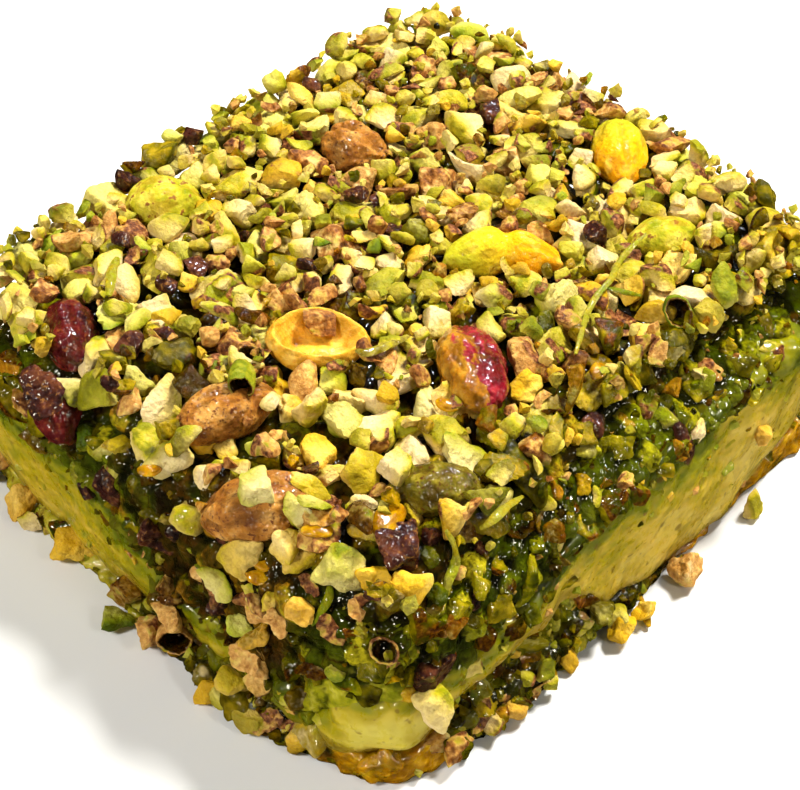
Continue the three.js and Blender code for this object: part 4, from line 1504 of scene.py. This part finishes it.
def green_toe(points, out):
    """Where nuts stick to the toe and under the cream."""
    angle = direction(points)
    below = points[:, 2] < cream_hem(angle) + 0.5
    green = np.maximum(around(GREEN_TOE, angle) - 0.15, 0)
    return beyond(points, 4.5) * below * (out[:, 2] > -0.3) * (points[:, 2] > 0.4) * green


def cream_sides(points, out):
    """Where bits stick in the cream: its outer side, most of them near the paste."""
    below_paste = paste_hem(direction(points)) - points[:, 2]
    near_paste = 0.12 + np.exp(-np.abs(below_paste) / 2.5)
    return beyond(points, 3.2) * (out[:, 2] > -0.5) * (below_paste > -1) * near_paste * ~on_lobe(points)


TOE_NUTS = 150
SIDE_NUTS = 520
CREAM_NUTS = 46
CREAM_CRUMBS = 190
PASTE_GRAINS = 600


def scatter_toe(pastry, ground, chunks, crumbs, draw):
    """Wet nuts and crumbs on the pastry's toe and in the ground pistachio."""
    heap = Heap()
    for surface, share in ((pastry, 0.7), (ground, 0.3)):
        count = round(TOE_NUTS * share)
        places, outs = surface_places(draw, surface, count, green_toe)
        sizes = falling_sizes(draw, count, 1.2, 0.32, 0.6, 2.2)
        for k in spaced(places, sizes, 0.6):
            chunk, look = any_side_nut(draw, chunks)
            wet = about(draw, 0.7, 0.35)
            add_nut(heap, draw, chunk, sizes[k], places[k], outs[k], look=look, moist=0.7, wet=wet)
        for at, out in zip(*surface_places(draw, surface, 3 * count, green_toe)):
            crumb, size = any_of(draw, crumbs), draw.uniform(0.5, 1.4)
            add_nut(heap, draw, crumb, size, at, out, moist=0.7, wet=chance(draw, 0.6))
    return heap


def scatter_sides(paste, chunks, draw, taken):
    """Nuts half sunk in the paste's sides, coated with it, and dark ones among them."""
    heap, dark = Heap(), Heap()
    places, outs = surface_places(draw, paste, SIDE_NUTS, paste_sides)
    sizes = falling_sizes(draw, SIDE_NUTS, 1.2, 0.32, 0.6, 2.3)
    for k in spaced(places, sizes, 0.72):
        if is_taken(places[k], taken, 0.6, 0.3 * sizes[k]):
            continue
        chunk, look = any_side_nut(draw, chunks)
        dry = 0.15 * smooth_step(places[k, 2], 12, 28) + 0.3 * brownness(places[k])
        wet = about(draw, 1.0 - dry, 0.25)
        at = places[k] - outs[k] * sizes[k] * draw.uniform(0.2, 0.6)
        chosen = dark if draw.random() < 0.08 else heap
        add_nut(chosen, draw, chunk, sizes[k], at, outs[k], look=look, moist=1 - 1.2 * dry, wet=wet)
    return heap, dark


def scatter_cream(cream, chunks, crumbs, draw):
    """Bits of nut sunk in the cream."""
    heap = Heap()
    places, outs = surface_places(draw, cream, CREAM_NUTS, cream_sides)
    sizes = np.sort(draw.uniform(0.6, 1.5, CREAM_NUTS))[::-1]
    for k in spaced(places, sizes, 0.9):
        chunk, _ = any_chunk(draw, chunks, SIDE_FORMS)
        at = places[k] - outs[k] * sizes[k] * draw.uniform(0.3, 0.6)
        add_nut(heap, draw, chunk, sizes[k], at, outs[k], moist=0.8, wet=chance(draw, 0.6))
    for at, out in zip(*surface_places(draw, cream, CREAM_CRUMBS, cream_sides)):
        crumb, size = any_of(draw, crumbs), draw.uniform(0.25, 0.65)
        at = at - 0.3 * size * out
        add_nut(heap, draw, crumb, CHUNK_SIZE * size, at, out, moist=0.6, wet=chance(draw, 0.4))
    return heap


def scatter_grains(paste, crumbs, draw, taken):
    """Fine grains of nut in the paste."""
    heap = Heap()
    for at, out in zip(*surface_places(draw, paste, PASTE_GRAINS, paste_sides)):
        if is_taken(at, taken):
            continue
        size = draw.uniform(0.2, 0.6)
        crumb = any_of(draw, crumbs)
        tone, _ = draw_tone(draw, 1.0)
        wet = about(draw, 0.8, 0.3)
        at = at - out * size * draw.uniform(0, 0.5)
        heap.add(crumb, any_turn(draw), np.full(3, size), at, tone, [chance(draw, 0.3), wet, 0])
    return heap


# Pieces that stand out in the photo, placed by their pixel

# Looks: green, golden and toasted shares, then skin
LOOKS = {
    "pale": ([0.1, 0.1, 0.0], 0.0),
    "pale_green": ([0.5, 0.0, 0.0], 0.0),
    "green": ([1.0, 0.0, 0.0], 0.0),
    "yellow": ([0.2, 0.5, 0.0], 0.0),
    "gold": ([0.0, 1.0, 0.0], 0.0),
    "orange": ([0.0, 1.0, 0.3], 0.0),
    "tan": ([0.0, 0.2, 0.5], 0.0),
    "brown": ([0.3, 0.2, 1.0], 1.0),
    "skin": ([0.3, 0.2, 0.4], 1.0),
}

# Pixel, form, half size in mm, look and wetness
MARKED_NUTS = [
    # the near corner's heap
    ((341, 563), "knob", 2.9, "pale_green", 0.0),
    ((302, 562), "slice", 2.2, "yellow", 0.0),
    ((308, 586), "flake", 1.6, "brown", 0.0),
    ((376, 580), "slice", 1.9, "gold", 0.0),
    ((363, 600), "flake", 1.5, "brown", 0.0),
    ((362, 512), "slice", 2.0, "pale", 0.0),
    ((318, 458), "knob", 2.6, "gold", 0.0),
    ((238, 555), "knob", 2.7, "yellow", 0.3),
    ((222, 577), "shard", 2.2, "pale_green", 0.3),
    ((217, 590), "flake", 1.9, "skin", 0.0),
    ((251, 590), "shard", 1.6, "pale", 0.0),
    ((258, 608), "slice", 2.0, "tan", 0.0),
    ((270, 600), "block", 1.2, "yellow", 0.0),
    ((279, 617), "slice", 1.9, "tan", 0.2),
    ((301, 612), "bean", 1.8, "orange", 0.1),
    ((328, 626), "flake", 2.4, "brown", 0.0),
    ((400, 470), "block", 2.2, "pale", 0.0),
    ((255, 492), "block", 2.5, "pale_green", 0.0),
    ((208, 478), "knob", 2.0, "pale", 0.0),
    ((228, 472), "block", 1.8, "pale", 0.0),
    ((205, 448), "knob", 1.8, "gold", 0.0),
    ((283, 397), "block", 2.2, "gold", 0.0),
    ((293, 414), "bean", 2.4, "yellow", 0.0),
    ((353, 408), "block", 2.7, "yellow", 0.0),
    ((383, 428), "slice", 2.6, "pale", 0.0),
    ((425, 419), "knob", 2.6, "pale_green", 0.0),
    ((459, 408), "bean", 2.5, "yellow", 0.0),
    ((227, 448), "knob", 1.7, "yellow", 0.0),
    ((260, 453), "slice", 1.8, "green", 0.0),
    ((280, 438), "shard", 1.8, "tan", 0.0),
    ((360, 473), "block", 2.8, "yellow", 0.0),
    ((410, 463), "slice", 2.9, "pale", 0.0),
    ((310, 490), "shard", 2.2, "yellow", 0.0),
    ((297, 513), "block", 2.0, "pale_green", 0.0),
    ((287, 541), "knob", 2.2, "yellow", 0.1),
    ((330, 505), "flake", 2.0, "brown", 0.0),
    ((410, 512), "shard", 1.8, "yellow", 0.0),
    ((410, 587), "knob", 2.4, "gold", 0.1),
    ((436, 592), "bean", 1.4, "green", 0.8),
    ((432, 560), "knob", 1.3, "green", 0.8),
    # the left face and its foot
    ((240, 625), "knob", 1.7, "green", 0.2),
    ((261, 636), "bean", 1.7, "orange", 0.5),
    ((255, 661), "slice", 2.4, "tan", 0.0),
    ((223, 661), "knob", 1.8, "green", 0.7),
    ((232, 684), "knob", 2.1, "yellow", 0.0),
    ((210, 693), "block", 1.9, "gold", 0.1),
    ((262, 686), "slice", 1.8, "skin", 0.3),
    ((298, 698), "knob", 1.7, "skin", 0.8),
    ((312, 713), "knob", 1.3, "green", 0.6),
    ((268, 720), "flake", 2.2, "brown", 0.2),
    ((288, 724), "flake", 1.4, "brown", 0.2),
    ((335, 672), "block", 1.4, "pale_green", 0.3),
    ((317, 668), "flake", 1.8, "brown", 0.7),
    ((176, 615), "shard", 2.2, "tan", 0.2),
    ((120, 620), "slice", 1.9, "green", 0.5),
    # the left end
    ((80, 392), "bean", 2.4, "pale_green", 0.2),
    ((138, 386), "knob", 1.9, "pale_green", 0.0),
    ((160, 406), "slice", 3.0, "pale", 0.0),
    ((150, 440), "block", 2.4, "pale", 0.0),
    ((88, 436), "block", 2.0, "green", 0.5),
    ((104, 450), "shard", 1.9, "pale_green", 0.5),
    ((120, 444), "block", 1.7, "yellow", 0.5),
    ((25, 500), "knob", 2.6, "orange", 0.2),
    ((70, 544), "knob", 2.7, "gold", 0.2),
    ((160, 320), "block", 3.0, "pale", 0.0),
    ((97, 358), "knob", 2.7, "pale", 0.0),
    # the right side and its foot
    ((526, 393), "block", 2.8, "gold", 0.0),
    ((540, 330), "knob", 2.0, "pale_green", 0.0),
    ((620, 326), "flake", 3.0, "brown", 0.0),
    ((598, 496), "block", 1.4, "pale", 0.0),
    ((432, 700), "knob", 2.4, "pale", 0.2),
    ((687, 575), "block", 2.2, "tan", 0.0),
    ((643, 612), "block", 1.5, "gold", 0.0),
    ((620, 632), "block", 1.8, "gold", 0.0),
    ((567, 667), "block", 1.4, "gold", 0.0),
    ((550, 684), "block", 1.2, "pale", 0.0),
    ((452, 742), "block", 2.3, "brown", 0.4),
    ((484, 716), "flake", 2.2, "brown", 0.0),
    ((514, 712), "knob", 1.5, "orange", 0.2),
    ((757, 435), "block", 1.8, "orange", 0.0),
    # the middle
    ((322, 324), "block", 1.9, "brown", 0.0),
    ((465, 463), "slice", 3.0, "pale_green", 0.0),
]

# Pixel, form and half size of the dark, glossy ones
MARKED_DARK_NUTS = [
    ((400, 548), "knob", 2.8),
    ((108, 480), "knob", 2.2),
    ((152, 532), "bean", 2.2),
    ((222, 603), "bean", 1.6),
    ((38, 392), "bean", 3.0),
    ((430, 536), "block", 1.6),
    ((592, 424), "knob", 1.8),
    ((250, 245), "block", 2.0),
    ((398, 240), "block", 2.2),
]


def under_pixel(tree, pixel):
    """What the photo's camera sees at a pixel: the place in mm and the surface's direction there."""
    start, ray = camera_ray(pixel)
    place, out, *_ = tree.ray_cast(start, ray)
    if place is None:
        place = start + ray * (1.5 - start.z) / ray.z
        out = Vector((0, 0, 1))
    return np.array(place), np.array(out)


MARKED_SHARE = 0.85  # of a marked piece's half size that its nut gets


def add_marked_nuts(tree, chunks, draw):
    """The photo's outstanding nuts, turned a little towards the camera."""
    heap = Heap()
    back = np.array(camera_axes()[2])
    for k, (pixel, form, size, look, wet) in enumerate(MARKED_NUTS):
        at, out = under_pixel(tree, pixel)
        out = unit(out + 0.5 * back)
        chunk = chunks[form][k % len(chunks[form])]["fine"]
        at = at + 0.25 * size * out
        add_nut(heap, draw, chunk, MARKED_SHARE * size, at, out, look=LOOKS[look], wet=wet)
    return heap


def add_marked_dark_nuts(tree, chunks, draw):
    """The photo's outstanding dark nuts."""
    heap = Heap()
    for pixel, form, size in MARKED_DARK_NUTS:
        at, out = under_pixel(tree, pixel)
        chunk = any_of(draw, chunks[form])["fine"]
        add_nut(heap, draw, chunk, MARKED_SHARE * size, at + 0.25 * size * out, out, look=LOOKS["skin"])
    return heap


# Empty ends of skin: the rim's pixel, radius and depth in mm, how far the opening leans down, look and
# wetness
CUPS = [
    ((242, 388), 1.5, 5.0, 1.1, "pale_green", 0.2),
    ((677, 313), 1.9, 2.6, 0.5, "green", 0.1),
    ((384, 650), 1.6, 2.4, 0.2, "brown", 0.2),
    ((176, 640), 2.0, 4.0, 0.9, "tan", 0.0),
    ((250, 355), 1.6, 2.4, -0.4, "brown", 0.2),
]
CUP_PROFILE = [
    (0.3, 0.0), (0.75, 0.1), (0.98, 0.45), (1.0, 0.8), (0.93, 1.0), (0.76, 0.98), (0.74, 0.75), (0.7, 0.4),
    (0.5, 0.2), (0.2, 0.16),
]
CUP_INSIDE = 5  # the profile's places before this one are outside
CUP_POINTS = 28


def make_cup(draw, radius, depth):
    """A thin-walled cup that opens along Z, its rim at the origin, and which of its points are inside."""
    turns = turns_of(CUP_POINTS)
    uneven = 1 + 0.12 * np.sin(2 * turns + draw.uniform(0, 6)) + draw.uniform(-0.05, 0.05, CUP_POINTS)
    rim = (0.3 * np.sin(3 * turns + draw.uniform(0, 6)) + draw.uniform(-0.15, 0.15, CUP_POINTS)) / depth
    rings = [
        columns(
            radius * r * uneven * np.cos(turns),
            radius * r * uneven * np.sin(turns),
            depth * (h - 1 + rim * smooth_step(h, 0.5, 1)))
        for r, h in CUP_PROFILE
    ]
    points, faces = loft(rings, rounding=0)
    inside = np.arange(len(points)) > CUP_INSIDE * CUP_POINTS
    return dict(points=points, faces=faces, depth=np.where(inside, 0.05, 0.15)), inside


def add_cups(relief, draw):
    """Rolled, empty ends of skin that open towards the camera."""
    heap = Heap()
    _, up, back = (np.array(axis) for axis in camera_axes())
    for pixel, radius, depth, lean, look, wet in CUPS:
        at = on_heap(relief, pixel) + radius * (0.7 + 0.5 * lean) * back
        cup, inside = make_cup(draw, radius, depth)
        turn = facing(unit(back + 0.4 * np.array([0, 0, 1]) - lean * up)) @ spin(draw.uniform(0, FULL_TURN))
        tone, skin = LOOKS[look]
        tone = np.where(inside[:, None], [0.6, 0.1, 1.0], tone)
        film = columns(np.maximum(skin, 1.0 * inside), np.where(inside, 0.9, wet), 0 * inside)
        heap.add(cup, turn, np.ones(3), at, tone, film)
    return heap


def camera_place(right, up, back):
    """The photo's camera place in mm."""
    return Vector(AIM) + back * DISTANCE + right * ASIDE + up * BELOW


def camera_ray(pixel):
    """The photo's camera place in mm, and the direction through a pixel."""
    right, up, back = camera_axes()
    focal = LENS / SENSOR * IMAGE_WIDTH
    across, down = pixel[0] - IMAGE_WIDTH / 2, pixel[1] - IMAGE_HEIGHT / 2
    turned_right = right * math.cos(ROLL) + up * math.sin(ROLL)
    turned_up = up * math.cos(ROLL) - right * math.sin(ROLL)
    ray = (turned_right * across - turned_up * down - back * focal).normalized()
    return camera_place(right, up, back), ray


HIGHEST = 42  # mm, above all that lies on the cake
RAY_STEP = 0.2


def on_heap(relief, pixel):
    """Where the ray through a pixel meets the heap with all that lies on it."""
    start, ray = (np.array(vector) for vector in camera_ray(pixel))
    for height in np.arange(HIGHEST, 0, -RAY_STEP):
        at = start + ray * (height - start[2]) / ray[2]
        column = np.round(at[:2] / CELL).astype(int) + relief.half
        on_grid = (column >= 0).all() and (column < relief.height.shape).all()
        if on_grid and relief.height[tuple(column)] > height:
            return at
    return at


# Thin shreds: pixels along each, width in mm, look
SHREDS = [
    ([(646, 234), (632, 246), (618, 262), (611, 280), (597, 294), (587, 312), (581, 333), (575, 354)],
     0.9, "pale_green"),
    ([(606, 288), (622, 292), (640, 296)], 0.9, "green"),
    ([(480, 528), (492, 520), (506, 506), (522, 496)], 1.1, "pale_green"),
    ([(446, 530), (455, 545), (456, 562), (448, 580), (444, 598)], 1.3, "pale_green"),
    ([(408, 336), (388, 346), (366, 354), (356, 350)], 1.3, "pale"),
    ([(640, 596), (644, 612), (648, 626)], 1.2, "gold"),
    ([(330, 584), (330, 596), (322, 610), (312, 624)], 1.2, "green"),
    ([(118, 258), (112, 276), (110, 296)], 1.4, "pale_green"),
]
SHRED_SIDES = 8


def make_shred(path, width):
    """A curved strip along a path, slimmer towards its ends."""
    steps = 5 * len(path)
    t = np.linspace(0, len(path) - 1, steps)
    along = columns(*(np.interp(t, np.arange(len(path)), path[:, k]) for k in range(3)))
    for _ in range(4):
        along[1:-1] = 0.25 * along[:-2] + 0.5 * along[1:-1] + 0.25 * along[2:]
    ahead = unit(np.gradient(along, axis=0))
    side = unit(np.cross(ahead, [0.1, 0.1, 1.0]))
    over = np.cross(side, ahead)
    girth = width / 2 * np.sin(np.linspace(0.25, math.pi - 0.25, steps)) ** 0.6
    girth *= 1 + 0.2 * noise(along, 1.5, 90)
    turns = turns_of(SHRED_SIDES)[:, None]
    rings = [
        middle + g * (np.cos(turns) * s + 0.55 * np.sin(turns) * o)
        for middle, g, s, o in zip(along, girth, side, over)
    ]
    points, faces = loft(rings, rounding=0)
    return dict(points=points, faces=faces, depth=np.full(len(points), 0.5))


def add_shreds(relief, draw):
    """The photo's green shreds, just above the heap."""
    heap = Heap()
    back = np.array(camera_axes()[2])
    for pixels, width, look in SHREDS:
        path = np.array([on_heap(relief, pixel) for pixel in pixels]) + 0.8 * back
        tone, skin = LOOKS[look]
        film = [skin, 0.5, draw.random()]
        heap.add(make_shred(path, width), np.eye(3), np.ones(3), np.zeros(3), tone, film)
    return heap


# Drops of amber syrup: pixel and half size in mm
DROPS = [
    ((598, 371), 1.1), ((388, 520), 1.9), ((262, 562), 1.3), ((261, 574), 1.5), ((447, 405), 1.0),
    ((318, 530), 1.2), ((150, 470), 1.0),
]
DROP_SHAPE = [1.3, 0.9, 0.45]
NO_TONE = np.zeros(3)


def add_drops(relief, chunks, draw):
    """Drops of syrup, and the soaked nut."""
    ball, faces = ICOSPHERE
    heap = Heap()
    for at, out, size in foot_places():
        if soaked(at):
            chunk = chunks["slice"][0]["fine"]
            add_nut(heap, draw, chunk, 0.8 * size, at - 1.2 * out, out, look=(NO_TONE, 0))
    for pixel, size in DROPS:
        uneven = 1 + 0.25 * noise(ball, 0.9, round(10 * size))[:, None]
        drop = dict(points=ball * uneven * DROP_SHAPE, faces=faces, depth=np.zeros(len(ball)))
        heap.add(drop, spin(draw.uniform(0, 3)), np.full(3, size), on_heap(relief, pixel), NO_TONE, NO_TONE)
    return heap


# What the scattered nuts keep clear of

def around_kernels():
    """For each kernel, whether a place is over its middle."""
    def over(kernel):
        (x0, y0, _), half = kernel["at"], kernel["half"]
        h = math.radians(kernel["heading"])

        def covers(x, y):
            along = (x - x0) * math.cos(h) + (y - y0) * math.sin(h)
            across = (y - y0) * math.cos(h) - (x - x0) * math.sin(h)
            return (along / (half[0] + 0.5)) ** 2 + (across / (half[1] + 0.5)) ** 2 < kernel.get("clear", 1)

        return covers

    return [over(kernel) for kernel in KERNELS.values()]


def marked_spots(tree):
    """Place and size of each marked nut and cup."""
    marks = [(pixel, size) for pixel, _, size, *_ in MARKED_NUTS + MARKED_DARK_NUTS]
    marks += [(pixel, 1.3 * radius) for pixel, radius, *_ in CUPS]
    return [(under_pixel(tree, pixel)[0], size) for pixel, size in marks]


def around_marked(tree):
    """For each marked nut, whether a place is over it."""
    def over(pixel, size):
        at, _ = under_pixel(tree, pixel)
        return lambda x, y: (x - at[0]) ** 2 + (y - at[1]) ** 2 < (size + 0.4) ** 2

    return [over(pixel, size) for pixel, _, size, *_ in MARKED_NUTS + MARKED_DARK_NUTS]


# Camera, floor and light

def camera_axes():
    """Right, up and back unit vectors of the camera before its roll."""
    back = Vector((
        math.sin(AZIMUTH) * math.cos(ELEVATION),
        -math.cos(AZIMUTH) * math.cos(ELEVATION),
        math.sin(ELEVATION),
    ))
    right = Vector((math.cos(AZIMUTH), math.sin(AZIMUTH), 0))
    return right, back.cross(right), back


def make_camera():
    right, up, back = camera_axes()
    place = camera_place(right, up, back) + Vector(SHIFT)
    turn = Matrix((right, up, back)).transposed().to_4x4()
    data = bpy.data.cameras.new("photo_camera")
    data.lens = LENS
    data.sensor_width = SENSOR
    data.clip_start = 0.01
    camera = bpy.data.objects.new("photo_camera", data)
    camera.matrix_world = Matrix.Translation(place * MM) @ turn @ Matrix.Rotation(ROLL, 4, "Z")
    bpy.context.scene.collection.objects.link(camera)
    bpy.context.scene.camera = camera


FLOOR_REACH = 1.5


def make_floor():
    mesh = bpy.data.meshes.new("floor")
    corners = [(x * FLOOR_REACH, y * FLOOR_REACH, 0) for x, y in ((-1, -1), (1, -1), (1, 1), (-1, 1))]
    mesh.from_pydata(corners, [], [(0, 1, 2, 3)])
    look = Look("floor", Base_Color=(0.86, 0.86, 0.86, 1), Roughness=0.7, Specular_IOR_Level=0.2)
    mesh.materials.append(look.material)
    floor = bpy.data.objects.new("floor", mesh)
    floor.visible_glossy = False  # wet surfaces stay dark between the lamps' glints
    bpy.context.scene.collection.objects.link(floor)


WHITE = (1.0, 0.98, 0.92)
BLUISH = (0.86, 0.91, 1.0)
WARM = (1.0, 0.93, 0.74)

# Lamps: size in metres, power, place in metres, colour, and whether they give glints alone or all else
LAMPS = {
    "key": (0.16, 9.6, (0.06, 0.34, 0.60), WHITE, False),
    "window": (0.08, 4.6, (-0.20, 0.30, 0.50), BLUISH, True),
    "side": (0.1, 0.7, (0.5, -0.02, 0.4), WHITE, False),
    "fill": (0.1, 3.4, (-0.12, -0.5, 0.48), WHITE, False),
    "glint_1": (0.055, 1.2, (0.36, 0.06, 0.46), WARM, True),
    "glint_2": (0.055, 1.2, (-0.10, -0.40, 0.48), WARM, True),
    "glint_3": (0.055, 1.2, (0.42, 0.34, 0.22), WARM, True),
    "glint_4": (0.055, 1.2, (-0.34, -0.50, 0.26), WARM, True),
    "glint_5": (0.055, 1.2, (0.34, -0.42, 0.27), WARM, True),
}
LIT_PLACE = (0, 0, 0.02)
WORLD_COLOUR = (1.0, 0.99, 0.96, 1)
WORLD_STRENGTH = 0.06


def add_lamp(name, size, power, place, colour, glints):
    """A square lamp that looks at the block."""
    data = bpy.data.lights.new(name, "AREA")
    data.size = size
    data.energy = power
    data.color = colour
    lamp = bpy.data.objects.new(name, data)
    lamp.location = place
    lamp.rotation_euler = (Vector(LIT_PLACE) - Vector(place)).to_track_quat("-Z", "Y").to_euler()
    lamp.visible_glossy = glints
    lamp.visible_diffuse = not glints
    bpy.context.scene.collection.objects.link(lamp)


def make_lights():
    for name, lamp in LAMPS.items():
        add_lamp(name, *lamp)
    world = bpy.data.worlds.new("studio")
    world.use_nodes = True
    background = world.node_tree.nodes["Background"].inputs
    background["Color"].default_value = WORLD_COLOUR
    background["Strength"].default_value = WORLD_STRENGTH
    world.cycles_visibility.glossy = False
    bpy.context.scene.world = world
    bpy.context.scene.view_settings.view_transform = "Standard"


# Whole kernels

def opened(ball):
    """A ball whose upper side is hollowed to a bowl with a thin rim."""
    x, y, z = ball.T
    bowl = -0.55 + 1.05 * smooth_step(np.hypot(x, y), 0.5, 0.95)
    return np.stack([x, y, np.where(z > 0, np.minimum(z, bowl), z)], axis=1)


def make_kernel(name, kernel):
    """A detailed kernel in the place of its solid."""
    ball, faces = FINE_BALL
    x, y, z = ball.T
    wrinkle = kernel["wrinkle"]
    place = ball * kernel["half"] + 9.0 * len(name)
    ridges = noise(place * [0.35, 1, 1], 0.9, 60) + 0.5 * noise(place * [0.5, 1, 1], 0.45, 61)
    dents = noise(place, 2.6, 62)
    suture = -0.16 * np.exp(-((y - 0.1) / 0.12) ** 2) * (z > 0)
    waist = -kernel.get("waist", 0) * kernel["half"][1] * np.exp(-((x - 0.05) / 0.16) ** 2)
    relief = wrinkle * ridges + (0.14 + 0.8 * wrinkle) * dents + suture + waist
    shaped = dict(kernel, dish=0)
    points = kernel_points(shaped, opened(ball) if kernel.get("dish") else ball, relief)
    skin = kernel["skin"]
    look = columns((x + 1) / 2, ridges, (y + 1) / 2)
    add_piece(
        name + "_nut", points, faces, KERNEL_LOOKS[skin], {"look": look},
        replaces=[name])
    return points, faces


# All pieces are made here, in an order that the random draws depend on

make_camera()
make_floor()
make_lights()

pastry_piece = make_pastry()
ground_piece = make_ground_nut()
cream_piece = make_cream()
paste_piece = make_paste()
layers = [pastry_piece, ground_piece, cream_piece, paste_piece, make_bed()]
kernels = [make_kernel(name, kernel) for name, kernel in KERNELS.items()]

nut_draw = np.random.default_rng(3)
nut_chunks = make_chunks(nut_draw)
nut_crumbs = make_crumbs(nut_draw)
heap_relief = Relief(layers + kernels)
keep_clear = around_kernels() + around_marked(heap_relief.tree)

dark_heap = add_marked_dark_nuts(heap_relief.tree, nut_chunks, nut_draw)
dark_heap.build("marked_dark_nuts", DARK_NUT, "kernel_red")
marked_heap = add_marked_nuts(heap_relief.tree, nut_chunks, nut_draw)
add_solid_nuts(marked_heap, nut_chunks, nut_draw)
marked_heap.build("marked_nuts", NUT, "chopped_pistachio")

top_heaps, dark_top = scatter_top(heap_relief, nut_chunks, nut_draw, keep_clear)
for k, heap in enumerate(top_heaps):
    heap.build(f"chopped_nuts_{k + 1}", NUT, "chopped_pistachio", ["chopped_topping"] if k == 0 else ())
crumb_heap = scatter_crumbs(heap_relief, nut_crumbs, nut_draw, keep_clear)
crumb_heap.build("crumbs", NUT, "chopped_pistachio", sharp=20)
add_cups(heap_relief, nut_draw).build("skin_cups", NUT, "chopped_pistachio", sharp=60)
add_shreds(heap_relief, nut_draw).build("shreds", WET_NUT, "chopped_pistachio", sharp=60)
add_drops(heap_relief, nut_chunks, nut_draw).build("syrup_drops", PASTRY, "pastry", sharp=None)
taken_spots = marked_spots(heap_relief.tree)
side_heap, dark_sides = scatter_sides(paste_piece, nut_chunks, nut_draw, taken_spots)
side_heap.build("side_nuts", WET_NUT, "chopped_pistachio")
dark_top.build("dark_nuts", DARK_NUT, "kernel_red")
dark_sides.build("dark_side_nuts", DARK_NUT, "kernel_red")
cream_heap = scatter_cream(cream_piece, nut_chunks, nut_crumbs, nut_draw)
cream_heap.build("cream_nuts", WET_NUT, "chopped_pistachio")
grain_heap = scatter_grains(paste_piece, nut_crumbs, nut_draw, taken_spots)
grain_heap.build("paste_grains", WET_NUT, "paste", sharp=20)
toe_heap = scatter_toe(pastry_piece, ground_piece, nut_chunks, nut_crumbs, nut_draw)
toe_heap.build("toe_nuts", WET_NUT, "chopped_pistachio")
